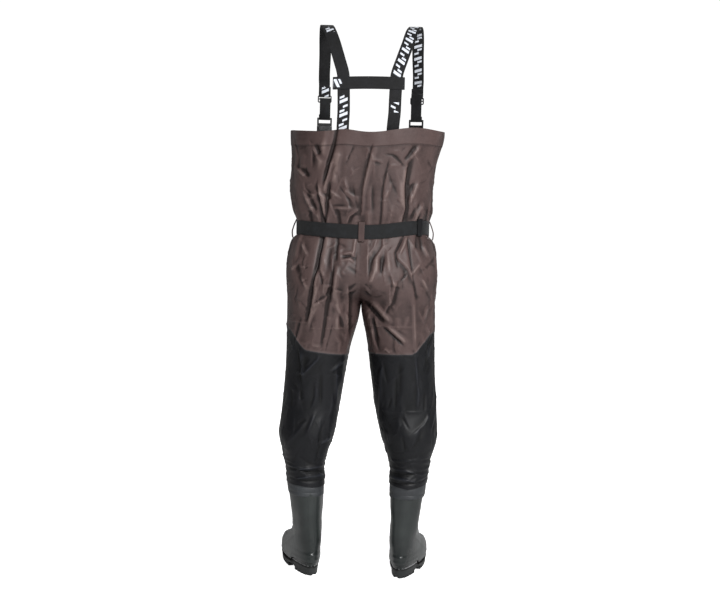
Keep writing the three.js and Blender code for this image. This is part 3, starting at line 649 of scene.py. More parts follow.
# the belt gathers the cloth into short upright folds all round
gather_height = belt_top - 2
for i in range(26):
    centre = -560 + 45 * i + chance.uniform(-10, 10)
    gather = [(centre, gather_height), (centre + chance.normal(0, 9), gather_height + chance.uniform(30, 80))]
    d += fold(back_q, bib_h, gather, chance.uniform(5, 9), chance.uniform(1.5, 3.2) * chance.choice([-1, 1]),
              "ridge", (1, 0))
# folds are weaker on the doubled hem and under the belt, the hem waves, and none cuts in at a centre seam
d *= 1 - 0.45 * np.clip((bib_h - stitch_height) / 20, 0, 1)
d *= 1 - 0.85 * hump(bib_h, belt_middle, 20, 4)
d += 3.0 * np.sin(back_q / 47 + 0.6) * hump(bib_h, hem_top, 60) * np.clip(np.abs(back_q) / 90, 0.2, 1)
d = np.maximum(d, np.where(np.abs(bib_x) < 14, -0.6, -40))
d += np.where(bib_h > stitch_height, 0.9, 0)
d /= 1000
sag, left_pull, right_pull = -5, 8, 17  # the straps pull the hem up where they are sewn, it sags elsewhere
hem_rise = sag + left_pull * hump(bib_x, -60, 45) + right_pull * hump(bib_x, 140, 85)
hem_rise *= 0.3 + 0.7 * behind
bib_p[..., 2] += np.clip((bib_h - pull_start) / (hem_top - pull_start), 0, 1) * hem_rise
bib_p[..., 2] += belt_lift(bib_x, bib_y) * hump(bib_h, belt_middle, 55)
bib_p[..., 2] = up(bib_p[..., 2])
bib_p[..., :2] /= 1000
n = grid_normals(bib_p, ring=True)
bib_p = bib_p + n * d[..., None]
n = grid_normals(bib_p, ring=True)
bib = walled("bib_cloth", bib_p, n, back_q, bib_h, brown, ring=True, relief=relief_of(d, True))
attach(bib, "torso")
panels = [f"{part}_panel_{side}" for part in ("front", "back") for side in ("left", "right")]
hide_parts("chest_hem", *panels)
print("bib:", len(bib.data.polygons), "faces")


# %% Boot shape
boot_marks = np.array([
    # height, half width, heel, toe, lean, how pointed the heel is
    [14, 46, -61, 214, 0, 0.27],
    [22, 49, -64, 219, 0, 0.26],
    [44, 50, -66.5, 222, 0, 0.24],
    [58, 49, -65.5, 212, 0, 0.21],
    [70, 47, -63, 194, 0, 0.18],
    [95, 44, -60, 140, 0, 0.07],
    [124, 41, -58, 88, 1, 0.02],
    [155, 41, -57.5, 63, 3, 0],
    [207, 46, -61, 60, 6, 0],
    [272, 51, -64, 64, 11, 0],
], float)
boot_turn = {"left": math.radians(15), "right": math.radians(9)}


def boot_ring(height, out=0.0, columns=144, scale=1.0):
    """Outline of the boot at a height, in the boot's own frame with the toe along +y: a superellipse whose
    width is multiplied by 1 + pointed * (y / half length)."""
    height, out, scale = (np.asarray(a, float).reshape(-1, 1) for a in (height, out, scale))
    half, low, high, lean, pointed = (through(boot_marks, c, height) for c in range(1, 6))
    turn = np.linspace(0, 2 * np.pi, columns, endpoint=False)[None, :] - np.pi / 2
    long, across = power(np.sin(turn), 2 / 2.25), power(np.cos(turn), 2 / 2.25)
    y = (low + high) / 2 + long * ((high - low) / 2 + out) * scale
    x = lean + across * (half + out) * (1 + pointed * long) * scale
    return np.stack([x, y], -1)


def boot_place(xy, height, name):
    """From the boot's own frame, in mm, to the waders' frame, in metres."""
    s = boot_turn[name]
    spring = 16 * np.clip((xy[..., 1] - 95) / 115, 0, 1) ** 1.7
    height = height + spring * np.clip(1.6 - np.asarray(height) / 100, 0, 1)
    x = 140 + xy[..., 0] * math.cos(s) + xy[..., 1] * math.sin(s)
    y = -5 - xy[..., 0] * math.sin(s) + xy[..., 1] * math.cos(s)
    height = np.broadcast_to(height, x.shape)
    return np.stack([x * (-1 if name == "left" else 1) / 1000, y / 1000, up(height)], -1)


# %% [markdown]
# ## Seat and legs
# Each leg is one surface from the belt to the boot. It is split where the colour changes and again at the knee
# and ankle, because a piece can bend across one joint only. Neighbours share their edge points.

# %% Leg surface
def colour_edge(x, side):
    """Height where brown meets black:
    level + slope * x + climb * smooth((x - start) / (outer - start))."""
    level, slope, climb = (648, 0.14, 55) if side < 0 else (660, 0.03, 58)
    start, outer = 150, 215
    return level + slope * x + climb * smooth((x - start) / (outer - start))


# Leg folds are given like the bib's, but each point is the share of the hip's half width outwards from the
# centre line, and a height measured from one of the levels below.
belt_bottom, hip_level, edge_level, knee_level, hip_half = 996, 900, 660, 430, 215
seat_folds = {
    -1: [
        ("ridge", 6.5, -8.5, (1, 0), [(0.5, 0), (0.6, -120)]),
        ("pleat", 4.5, 4.4, (0.9, 0.2), [(0.5, 0), (0.65, -180)]),
        ("ridge", 10, 3.8, (0.5, 0.3), [(0.45, 0), (0.5, -110)]),
        ("ridge", 4.5, -4.4, (0, 0.6), [(0.35, -70), (0.4, -180)]),
        ("ridge", 7, 2.8, (0, 0.4), [(0.3, -70), (0.35, -180)]),
        ("pleat", 3, 2, (1, 0.2), [(0.05, -20), (0.05, -120)]),
        ("ridge", 9, -3.6, (0, 0), [(0.9, -50), (0.75, -150)]),
    ],
    1: [
        ("pleat", 3, 2, (1, 0.2), [(0.1, -20), (0.1, -120)]),
        ("crease", 3.6, -4.4, (1, 0), [(0.55, 0), (0.45, -40), (0.5, -90)]),
        ("ridge", 4, 3.6, (0.4, 0), [(0.6, 0), (0.5, -50)]),
        ("crease", 3.4, -4.4, (0.3, 0.4), [(0.6, 0), (0.75, -170)]),
        ("ridge", 8, 3, (0.3, 0), [(0.3, 0), (0.4, -110)]),
        ("pleat", 4, 3, (0, 0), [(0.5, -110), (0.4, -200)]),
    ],
}
thigh_folds = {
    -1: [
        ("ridge", 5, -4, (0.6, 0), [(0.65, 190), (0.7, 90)]),
        ("pleat", 4, 3.4, (0.6, 0.1), [(0.6, 190), (0.7, 80)]),
        ("ridge", 5.5, -4.6, (0.8, 0.3), [(0.4, 190), (0.5, 20)]),
        ("ridge", 7, 3, (0.5, 0.2), [(0.3, 180), (0.3, 50)]),
        ("pleat", 4, -3.4, (0.6, 0.3), [(0.15, 190), (0.15, 50)]),
        ("ridge", 4, 2.4, (0, 0), [(0.65, 25), (0.5, 20)]),
    ],
    1: [
        # the crotch drags one Z-shaped fold across the thigh, dark below and light above
        ("ridge", 6.5, -7, (0.3, 0), [(0.05, 155), (0.35, 90)]),
        ("ridge", 7, 5, (0.2, 0), [(0.15, 160), (0.45, 90)]),
        ("crease", 4.5, -6.5, (0.2, 0.2), [(0.3, 85), (0.6, 30)]),
        ("ridge", 6.5, 5, (0.1, 0.1), [(0.35, 90), (0.65, 35)]),
        ("ridge", 7, -3.6, (0.3, 0), [(0.15, 110), (0.25, 30)]),
        ("ridge", 5, 3, (0.2, 0.2), [(0.1, 130), (0.2, 40)]),
        ("ridge", 3.4, 3.2, (0, 0), [(0.3, 10), (0.35, 18), (0.4, 10), (0.45, 16)]),
        ("ridge", 4, 3.2, (0.2, 0.2), [(0.7, 180), (0.75, 20)]),
        ("ridge", 4.5, 3.4, (0, 0), [(0.9, 150), (0.85, 100)]),
    ],
}
shin_folds = {
    -1: [
        # one slanting fold under the colour edge, then long soft ones down to the calf
        ("ridge", 4.2, 3.8, (0.2, 0.1), [(0.5, 225), (0.75, 165)]),
        ("ridge", 9, -3.4, (0.2, 0), [(0.7, 225), (0.75, 180)]),
        ("ridge", 3, 3, (0, 0), [(0.85, 165), (0.8, 172), (0.7, 166)]),
        ("pleat", 4, 3, (0.7, 0), [(0.8, 230), (0.75, 130)]),
        ("ridge", 4.5, 3, (0.2, 0), [(0.2, 210), (0.4, 170)]),
        ("ridge", 6, 2.6, (0, 0), [(0.55, 70), (0.7, -20)]),
        ("ridge", 4, 3, (0, 0.2), [(0.55, -40), (0.35, -20)]),
    ],
    1: [
        ("ridge", 3, 3.4, (0.2, 0), [(0.75, 240), (0.8, 110)]),
        ("ridge", 4, 2.8, (0.2, 0), [(0.95, 270), (0.9, 210)]),
        ("crease", 4, -3.8, (0, 0), [(0.45, 110), (0.4, 70)]),
        ("ridge", 7, -2.8, (0.3, 0), [(0.55, 210), (0.55, 90)]),
        ("crease", 4, -3.8, (0, 0.2), [(0.6, 0), (0.65, -50)]),
        ("ridge", 4, 2.6, (0, 0), [(0.4, 10), (0.45, -35)]),
    ],
}
# short slanting ridges lie over both hips, and long soft ones hang evenly down both black legs
for side in (-1, 1):
    for i in range(3):
        lean = 0.15 if i % 2 else -0.1
        ridge = [(0.8, -20 - 45 * i), (0.8 - side * lean, -60 - 45 * i)]
        seat_folds[side].append(("ridge", 4, 3.4, (0.1, 0), ridge))
    for i, across in enumerate((0.3, 0.5, 0.8, 0.9)):
        soft = [(across, 200 - 25 * i), (across, 60)]
        shin_folds[side].append(("ridge", 4.5, 2.9 * (-1) ** i, (0.2, 0), soft))
# shares and levels become millimetres; a pleat is turned over on the left, because its path is mirrored
leg_folds = {-1: [], 1: []}
for side in (-1, 1):
    for level, group in ((belt_bottom, seat_folds), (edge_level, thigh_folds), (knee_level, shin_folds)):
        for kind, width, rise, ends, points in group[side]:
            points = [(side * x * hip_half, level + z) for x, z in points]
            rise = rise * side if kind == "pleat" else rise
            leg_folds[side].append((kind, width, rise, ends, points))
# short drag lines fan out from the crotch on both sides
for side in (-1, 1):
    for i in range(3):
        drop = 11 * i
        points = [(side * (6 + 16 * s), 874 - drop - 14 * s) for s in (0.0, 0.9, 1.8)]
        leg_folds[side].append(("crease", 3.3, 3.6 * (-1) ** (i + 1), (0, 0), points))
# the seat is lifted into arcs on the left, and into short upright folds on the right
for i in range(3):
    arc = [(-60, 50 - 9 * i), (-30, 55 - 9 * i), (-10, 40 - 9 * i)]
    upright = [(30 + 14 * i, 55), (33 + 14 * i, -10)]
    for side, points, width, rise in ((-1, arc, 3.6, 2.8 * (-1) ** i), (1, upright, 6.5, -3 * (-1) ** i)):
        leg_folds[side].append(("ridge", width, rise, (0, 0), [(x, hip_level + z) for x, z in points]))
# level creases left by folding the waders flat in their box
for side, inner, outer, height in ((-1, 0.2, 0.45, 735), (-1, 0.5, 0.65, 735), (-1, 0.7, 0.95, 750),
                                   (1, 0.1, 0.7, 745), (1, 0.3, 0.6, 495), (1, 0.65, 0.85, 495)):
    points = [(side * inner * hip_half, height), (side * outer * hip_half, height)]
    leg_folds[side].append(("crease", 2.3, 1.8, (0.4, 0.4), points))
# the cloth end buckles into slanting rolls above the boot
for side in (-1, 1):
    for i, slant in enumerate((14, -9, 12, -6)):
        height, rise = 322 - 13 * i, 3.2 * (-1) ** i
        rolls = [(side * 190, height - slant), (side * 145, height), (side * 98, height + 2)]
        leg_folds[side].append(("ridge", 3.4, rise, (0.4, 0.4), rolls))


def leg(side, seed):
    """Grid of one leg from the belt down into the boot: points, normals, UV distances, relief, the weld at
    the colour edge, which rows close into a tube, and the rows where it is cut into pieces."""
    columns = 221
    leg_top, mean_edge, under_edge, shin_end, leg_end = 1015, 652, 600, 360, 268
    straight = np.array([leg_top])
    row_counts = (128, 20, 92, 46)
    for low, count in zip((mean_edge, under_edge, shin_end, leg_end), row_counts):
        straight = np.concatenate([straight, np.linspace(straight[-1], low, count + 1)[1:]])
    rows = [sum(row_counts[:i]) for i in range(5)]
    edge_row, under_row = rows[1:3]
    level, run = even(half_outline(straight), columns)
    at_back = np.argmin(level[..., 1], axis=1)
    pick = np.arange(len(straight))
    q = level[pick, at_back, 0][:, None] + run - run[pick, at_back][:, None]
    # rows slope more and more until they follow the colour edge, and are level again a little below it
    edge = colour_edge(softened(level[..., 0], 3)[edge_row], side)
    h = np.broadcast_to(straight[:, None], q.shape).copy()
    above, between = slice(None, edge_row + 1), slice(edge_row, under_row + 1)
    t = (leg_top - straight[above]) / (leg_top - mean_edge)
    ease = np.clip((t - 0.35) / 0.65, 0, 1)[:, None] ** 1.5
    h[above] += ease * (edge - mean_edge)[None, :]
    gone = (mean_edge - straight[between]) / (mean_edge - under_edge)
    h[between] = edge + (under_edge - edge) * gone[:, None]
    # the outline is read again at the moved heights
    fine_h = np.linspace(262, 1022, 400)
    fine, _ = even(half_outline(fine_h), columns)
    i = np.clip(np.searchsorted(fine_h, h) - 1, 0, len(fine_h) - 2)
    f = ((h - fine_h[i]) / (fine_h[1] - fine_h[0]))[..., None]
    column = np.broadcast_to(np.arange(columns), h.shape)
    xy = fine[i, column] * (1 - f) + fine[i + 1, column] * f
    if side > 0:  # the right leg is a little wider about the knee
        wide = hump(h, 560, 130, 4)
        spread = (xy[..., 0] - 140) / 85
        xy[..., 0] += wide * np.where(spread > 0, 5, 8) * np.clip(spread, -1, 1)
    # the cloth end is pushed out wherever it would lie inside the boot's cuff
    cuff = boot_place(boot_ring([leg_end], [4.4])[0], leg_end, "left" if side < 0 else "right")
    cuff = cuff[:, :2] * [1000 * side, 1000]
    hub = cuff.mean(0)
    cuff_turn, cuff_radius = np.arctan2(*(cuff - hub).T[::-1]), np.linalg.norm(cuff - hub, axis=1)
    order = np.argsort(cuff_turn)
    away = xy - hub
    radius = np.linalg.norm(away, axis=2)
    away_turn = np.arctan2(away[..., 1], away[..., 0])
    least = np.interp(away_turn, cuff_turn[order], cuff_radius[order], period=2 * np.pi)
    grow = 1 + smooth((318 - h) / 36) * np.maximum(least / radius - 1, 0)
    xy = hub + away * np.where(h < 330, grow, 1)[..., None]
    off_hub = xy[..., 0] - hub[0]
    end_dip = 3 * np.sin(off_hub / 24) if side < 0 else 9 * np.abs(off_hub) / 50 - 1
    h = h + end_dip * smooth((310 - h) / 40)
    p = np.concatenate([xy, h[..., None]], -1)
    closed = straight < crotch - 3
    p[closed, -1] = p[closed, 0]

    chance = np.random.default_rng(seed)
    d = np.zeros(q.shape)
    depth = p[..., 1] + through(landmarks, 4, h)
    behind = np.clip((10 - depth) / 30, 0, 1)
    in_front = np.clip((depth - 10) / 30, 0, 1)
    for kind, width, rise, ends, path in leg_folds[side]:
        d += behind * fold(side * p[..., 0], h, path, width, rise, kind, ends)
    for kind, width, rise, ends, path in leg_folds[-side]:
        d += 0.85 * in_front * fold(-side * p[..., 0], h, path, width, rise, kind, ends)
    reach = float(q.max())  # then small folds, first on the brown cloth and then on the black
    d += scattered(q, h, chance, 90, (0, reach, 660, 990), 2, 26, (40, 150), (3, 8), 2.5)
    d += scattered(q, h, chance, 150, (0, reach, 640, 990), 50, 60, (16, 52), (2, 4.5), 1.6)
    d += scattered(q, h, chance, 70, (20, reach, 350, 640), -6 * side, 24, (50, 160), (3.5, 9), 2.2)
    d += scattered(q, h, chance, 110, (20, reach, 350, 640), 40, 60, (16, 52), (2, 4.5), 1.4)
    for i in range(12):
        centre = 20 + (reach - 30) * i / 12 + chance.uniform(-10, 10)
        gather_foot = (centre + chance.normal(8, 9), 998 - chance.uniform(40, 110))
        d += fold(q, h, [(centre, 998), gather_foot], chance.uniform(5, 9),
                  chance.uniform(1.5, 3.4) * chance.choice([-1, 1]), "ridge", (1, 0))
    for i in range(5):
        high = 352 - 15 * i + chance.uniform(-4, 4)
        wave = high + 6 * np.sin(q / chance.uniform(30, 50) + chance.uniform(0, 6))
        roll = chance.uniform(1.4, 2.8) * hump(h, wave, chance.uniform(3.5, 5.5))
        d += roll * (0.5 + 0.5 * np.sin(q / 38 + chance.uniform(0, 6)))
    d += scattered(q, h, chance, 26, (60, reach, 285, 350), 84, 16, (30, 80), (3, 6), 2.2)
    # folds fade at the centre seam, under the belt and at the cloth's end
    centre_seam = hump(np.minimum(np.abs(p[..., 0]), 60), 0, 16) * (h > crotch - 60)
    d *= 1 - 0.8 * centre_seam
    d *= 1 - 0.85 * hump(h, belt_middle, 20, 4)
    d *= np.clip((h - 266) / 16, 0, 1)
    inner_edge = np.minimum(q - q[:, :1], 30) / 30
    d *= np.where(closed[:, None], 1, np.clip(inner_edge + 0.2, 0, 1))
    d[closed, -1] = d[closed, 0] = (d[closed, 0] + d[closed, -1]) / 2
    # the colour edge is a raised weld
    d[above] += 0.8 * hump(np.maximum(h[above] - edge, 0), 0, 5, 4)
    below = slice(edge_row + 1, under_row + 1)
    d[below] += 0.8 * hump(np.maximum(edge - h[below], 0), 0, 3, 4)
    welded = hump(h, edge, 2.6) * (straight > under_edge - 10)[:, None]
    p[..., 2] += belt_lift(side * p[..., 0], p[..., 1]) * hump(h, belt_middle, 55)
    d -= 1.6 * smooth((h - 1006) / 6)
    d /= 1000
    p[..., 0] *= side
    p[..., :2] /= 1000
    p[..., 2] = up(p[..., 2])
    way = -side  # rows run downwards here
    n = way * grid_normals(p, closed)
    p = p + n * d[..., None]
    p[~closed, 0, 0] = 0  # the halves still meet on the centre plane
    p[~closed, -1, 0] = 0
    n = way * grid_normals(p, closed)
    return p, n, q, h, relief_of(d), welded, closed, rows


print("leg folds with a place of their own:", sum(len(v) for v in leg_folds.values()))


# %% Cutting the legs into pieces
for side_name, side, seed in (("left", -1, 23), ("right", 1, 31)):
    p, n, q, h, shade, weld, closed, cut = leg(side, seed)
    if side < 0:  # the mirrored grid is read backwards, so that its faces still point outwards
        p, n, q, h, shade, weld = (a[:, ::-1] for a in (p, n, q, h, shade, weld))
    p, n, q, h, shade, weld, closed = (a[::-1] for a in (p, n, q, h, shade, weld, closed))
    last = len(p) - 1
    cut = [last - c for c in cut]
    names = ["hip_cloth", "thigh_cloth", "knee_cloth", "ankle_cloth"]
    bodies = [("torso", "thigh"), ("torso", "thigh"), ("thigh", "shin"), ("shin", "boot")]
    slots = ["brown_cloth", "black_cloth", "black_cloth", "black_cloth"]
    stands_for = [("hip_fabric", "thigh"), ("upper_leg",), ("knee_fabric", "lower_leg"), ("ankle_fabric",)]
    # each bend starts and ends at a point; the hip's slants outwards by 30 degrees, 190 mm long
    at_hip = ((0, 0, up(crotch)), (side * 0.095, 0, up(crotch) - 0.1645))
    at_knee, at_ankle = (((0, 0, up(high)), (0, 0, up(low))) for high, low in ((600, 400), (330, 272)))
    bends = [at_hip, at_hip, at_knee, at_ankle]
    for name, (a, b), slot, nodes, (start, end), low, high in zip(
            names, bodies, slots, stands_for, bends, cut[1:], cut[:-1]):
        part = slice(low, high + 1)
        finish = brown if slot == "brown_cloth" else black
        made = walled(f"{name}_{side_name}", p[part], n[part], q[part], h[part], finish,
                      closed_rows=np.flatnonzero(closed[part]), relief=shade[part], welded=weld[part])
        a = a if a == "torso" else f"{a}_{side_name}"
        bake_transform(made)
        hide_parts(*[f"{node}_{side_name}" for node in nodes])
        print(made.name, len(made.data.polygons), "faces")


# %% [markdown]
# ## Swept bands and closed shells
# Webbing is a flat band with rounded edges, swept along a line. Boots are closed shells whose rows go up the
# outside and down the inside. Both are grids that join up with themselves, so one function puts them in.

# %% Closed grids and bands
def closed_shell(name, p, finish, uv=None, loop_rows=False, flip=False, groove_shade=0.0):
    """A grid whose columns close, and whose rows close too if loop_rows. Rows of equal points are merged."""
    rows, cols = p.shape[:2]
    if uv is None:
        run = np.cumsum(np.linalg.norm(np.roll(p, -1, 1) - p, axis=2), axis=1)
        rise = np.cumsum(np.linalg.norm(np.diff(p, axis=0, prepend=p[:1]), axis=2).mean(1))
        uv = np.stack([run, np.broadcast_to(rise[:, None], run.shape)], -1)
    index = np.arange(rows * cols).reshape(rows, cols)
    index = np.concatenate([index, index[:, :1]], 1)
    uv = np.concatenate([uv, uv[:, :1]], 1)
    if loop_rows:
        index, uv = np.concatenate([index, index[:1]]), np.concatenate([uv, uv[:1]])
    quads = np.stack(squares(index, flip), -1).reshape(-1, 4)
    corners_uv = np.stack(squares(uv, flip), -2).reshape(-1, 4, 2)
    # a number for each row that marks where shade is painted into a groove
    groove_shade = np.broadcast_to(np.reshape(groove_shade, (-1, 1)), (rows, cols)).ravel()
    made = mesh_object(name, p.reshape(-1, 3), quads, finish, corners_uv, numbers=[("groove_shade", groove_shade)])
    loose = bmesh.new()
    loose.from_mesh(made.data)
    bmesh.ops.remove_doubles(loose, verts=loose.verts, dist=2e-6)
    loose.to_mesh(made.data)
    loose.free()
    return made


def smooth_path(points, spacing, closed=False):
    """Catmull-Rom curve through the points, at even steps of about spacing, and the distance along it."""
    p = np.array(points, float)
    ends = (p[-1:], p[:2]) if closed else (2 * p[:1] - p[1:2], 2 * p[-1:] - p[-2:-1])
    p = np.concatenate([ends[0], p, ends[1]])
    t = np.linspace(0, 1, 16, endpoint=False)[:, None]
    a, b, c, e = (p[i:len(p) - 3 + i, None, :] for i in range(4))
    line = 0.5 * (2 * b + (c - a) * t + (2 * a - 5 * b + 4 * c - e) * t**2 + (3 * b - a - 3 * c + e) * t**3)
    line = np.concatenate([line.reshape(-1, p.shape[1]), p[-2:-1]])
    run = np.concatenate([[0], np.cumsum(np.linalg.norm(np.diff(line[:, :3], axis=0), axis=1))])
    at = np.linspace(0, run[-1], max(int(run[-1] / spacing), 2) + 1)
    return np.stack([np.interp(at, run, column) for column in line.T], -1), at


def pulled(x, y, z):
    """How far the back straps hang to the right of where they were sewn: 3 mm, fading out at hem and top."""
    free = np.clip((z - 1298) / 60, 0, 1) * np.clip((1600 - z) / 60, 0, 1)
    return 3 * smooth(free) * np.clip((60 - y) / 120, 0, 1)


def band(name, points, sides, width, finish, thick=1.6, spacing=2.5, closed=False, mirror=1, marks=()):
    """A flat band in mm: its section is width * cos^(1/4) by thick * sin^(1/2), swept along the points."""
    sides = np.broadcast_to(np.array(sides, float), np.shape(points))
    line, at = smooth_path(np.hstack([points, sides]), spacing, closed)
    if closed:
        line, at = line[:-1], at[:-1]
    centre, side = line[:, :3], line[:, 3:]
    ahead = np.roll(centre, -1, 0) - np.roll(centre, 1, 0) if closed else np.gradient(centre, axis=0)
    ahead /= np.linalg.norm(ahead, axis=1, keepdims=True)
    side = side - ahead * (side * ahead).sum(1, keepdims=True)
    side /= np.linalg.norm(side, axis=1, keepdims=True)
    out = np.cross(ahead, side)
    turn = np.linspace(0, 2 * np.pi, 40, endpoint=False)
    u = width / 2 * power(np.cos(turn), 0.25)
    t = thick / 2 * power(np.sin(turn), 0.5)
    full = np.ones(len(centre))
    if not closed:
        full[[0, -1]] = 0
    p = centre[:, None] + u[None, :, None] * side[:, None] + (full[:, None] * t)[..., None] * out[:, None]
    uv = np.stack(np.broadcast_arrays(u[None, :], at[:, None]), -1) / 1000
    p = p * [mirror, 1, 1]
    p[..., 0] += pulled(*np.moveaxis(p, -1, 0))
    p[..., 2] += 1000 * ground
    made = closed_shell(name, p / 1000, finish, uv, closed, mirror < 0)
    if marks:
        shown = sum(np.clip(np.minimum(at - a, b - at) / 2, 0, 1) for a, b in marks)
        attribute = made.data.attributes.new("printed", "FLOAT", "POINT")
        near = np.empty(3 * len(made.data.vertices), np.float32)
        made.data.vertices.foreach_get("co", near)
        near = near.reshape(-1, 3) * 1000 * [mirror, 1, 1] - [0, 0, 1000 * ground]
        nearest = np.argmin(((near[:, None] - centre[None]) ** 2).sum(2), axis=1)
        attribute.data.foreach_set("value", np.asarray(shown[nearest], np.float32))
    return made


# %% [markdown]
# ## Webbing
# The suspenders are wide woven elastic with a pattern printed on the outer side, here plain slanted bars. The
# belt and the short ends at the clips are unprinted nylon. Weave is a row of fine ribs across the band.

# %% Webbing finishes
def webbing_finish(name, colour, worn, printed=False):
    """Ribs run across the band every 1.3 mm; edges are bound; print is slanted bars, only where marked."""
    f = Finish(name, Sheen_Weight=0.08, Sheen_Roughness=0.5, Specular_IOR_Level=0.36)
    across, along = f.along()
    place = f.place()
    rib = (along * (2 * math.pi / 0.0013)).of("SINE")
    thread = (across * (2 * math.pi / 0.0016)).of("SINE")
    dust = f.noise(place, 60.0, 4.0)
    edge = across.of("ABSOLUTE").ramp(0.0140, 0.0152)
    tone = f.mix(dust.ramp(0.35, 0.8), colour, worn)
    tone = f.mix(edge * 0.35, tone, colour)
    height = rib * 0.00008 + thread * 0.00004 + dust * 0.0001
    if printed:
        mark = f.number("printed")
        cell = ((along + across * 0.42) / 0.0385).of("FRACT")
        inside = 1 - across.of("ABSOLUTE").ramp(0.0108, 0.0114)
        bar = (1 - (cell - 0.2).of("ABSOLUTE").ramp(0.105, 0.12)) * inside
        half_in = 1 - (across - 0.0045).of("ABSOLUTE").ramp(0.0062, 0.0068)
        short = (1 - (cell - 0.5).of("ABSOLUTE").ramp(0.07, 0.085)) * half_in
        other_in = 1 - (across + 0.0045).of("ABSOLUTE").ramp(0.0062, 0.0068)
        third = (1 - (cell - 0.76).of("ABSOLUTE").ramp(0.07, 0.085)) * other_in
        ink = (bar + short + third).of("MINIMUM", 1.0) * mark.ramp(0.4, 0.6)
        ink = ink * (1 - dust.ramp(0.62, 0.9) * 0.35)
        tone = f.mix(ink, tone, paint(226, 231, 240))
        height = height + ink * 0.0001
    return f.end(tone, 0.62 + dust * 0.2, height)


strap_web = webbing_finish("suspender_webbing", paint(9, 9, 11), paint(24, 24, 27), True)
plain_web = webbing_finish("plain_webbing", paint(12, 13, 15), paint(27, 29, 32))

# %% Suspenders, clip webbing and cross band
hem_out = np.array([0.42, 0.907, 0])
hem_side = np.array([0.907, -0.42, 0])


def on_clip(out, height):
    """A point on the line of the front clips: out millimetres in front of the hem at that height."""
    return np.array([136, 120.2, height]) + hem_out * out


def round_bar(out, height, radius):
    """Half a turn of webbing under a bar, from its outer side to its inner side. A negative radius gives
    half a turn over the bar, from its inner side to its outer side."""
    a = np.linspace(0, np.pi, 7)
    return [on_clip(out + radius * math.cos(x), height - radius * math.sin(x)) for x in a]


back_line = -134.0
suspender_points = [(73, -125.4, 1258), (73, -126, 1292), (74, back_line - 1, 1341),
                    (75, back_line - 2, 1393), (76.5, back_line - 2, 1429), (78.5, back_line - 2, 1457),
                    (91, back_line + 14, 1497), (107, back_line + 44, 1545), (119, back_line + 78, 1579),
                    (129, back_line + 118, 1596), (135, back_line + 160, 1592.5),
                    (138, back_line + 196, 1565), (139, back_line + 224, 1517)]
suspender_sides = [(1, 0, 0)] * 7 + [(1, 0.04, 0), (1, 0, 0), (1, -0.05, 0), (1, -0.1, 0), (1, -0.2, 0),
                                     (1, -0.3, 0)]
front_run = [on_clip(13.2, 1461) - [0, 14, 0], on_clip(13.2, 1435), *round_bar(9.7, 1400.1, 3.5),
             on_clip(6.2, 1427)]
strap_width, clip_width, belt_width = 35, 34, 40
for name, side, tail_end, shown in (
        ("left", -1, 1394, ((0, 142), (342, 376), (640, 712))),
        ("right", 1, 1412, ((92, 122), (190, 640)))):
    points = [*suspender_points, *front_run]
    sides = [*suspender_sides, *[hem_side] * len(front_run)]
    strap = band(f"suspender_{name}_webbing", points, sides, strap_width, strap_web, mirror=side, marks=shown)
    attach(strap, "torso")
    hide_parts(f"suspender_{name}")
    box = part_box(f"clip_plug_{name}")
    bar = 1000 * (box[1][2] - ground) - 3.2
    run = [on_clip(9.9, bar + 13), on_clip(9.9, bar + 5), *round_bar(7, bar, 2.9),
           on_clip(4.1, (bar + tail_end) / 2), on_clip(4.1, tail_end)]
    short = band(f"clip_{name}_webbing", run, hem_side, clip_width, plain_web, mirror=side)
    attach(short, f"clip_{name}")
    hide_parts(f"clip_webbing_{name}")
    low = 1000 * (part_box(f"clip_socket_{name}")[0][2] - ground) + 2.6
    run = [on_clip(4.4, 1213), on_clip(4.2, 1235), on_clip(4.0, low + 2), *round_bar(7, low, -2.9),
           on_clip(9.6, low - 8), on_clip(6.8, low - 20), on_clip(6.2, 1214)]
    tab = band(f"clip_{name}_tab", run, hem_side, clip_width, plain_web, mirror=side)
    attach(tab, "torso")
    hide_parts(f"clip_tab_{name}")

# the cross band is a flat loop round both suspenders, one half behind them and one half before them
reach, apart, middle = 97.0, 2.9, -135.6
ends = np.linspace(-np.pi / 2, np.pi / 2, 7)
across_back = np.linspace(-reach, reach, 9)


def bow(x):
    """Height of the cross band, a little higher in the middle and tilted: 1429 + 2.5 cos(pi x / 200) +
    0.018 x."""
    return 1429 + 2.5 * np.cos(np.pi * x / 200) + 0.018 * x


run = [(x, middle - apart, bow(x)) for x in across_back]
run += [(reach + apart * math.cos(a), middle + apart * math.sin(a), bow(reach)) for a in ends[1:-1]]
run += [(x, middle + apart, bow(x)) for x in across_back[::-1]]
run += [(-reach - apart * math.cos(a), middle - apart * math.sin(a), bow(-reach)) for a in ends[1:-1]]
upright = (0, 0, 1)
cross = band("cross_band_webbing", run, upright, strap_width, strap_web, closed=True, marks=((0, 26),))
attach(cross, "torso")
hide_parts("back_cross_band")
print("webbing run", len(suspender_points) + len(front_run), "points each side")

# %% [markdown]
# ## Belt
# The belt is sewn to the socket of the buckle, runs round the waist a little off the cloth and ends under the
# plug. The free end comes up through the plug and lies back along the belt.

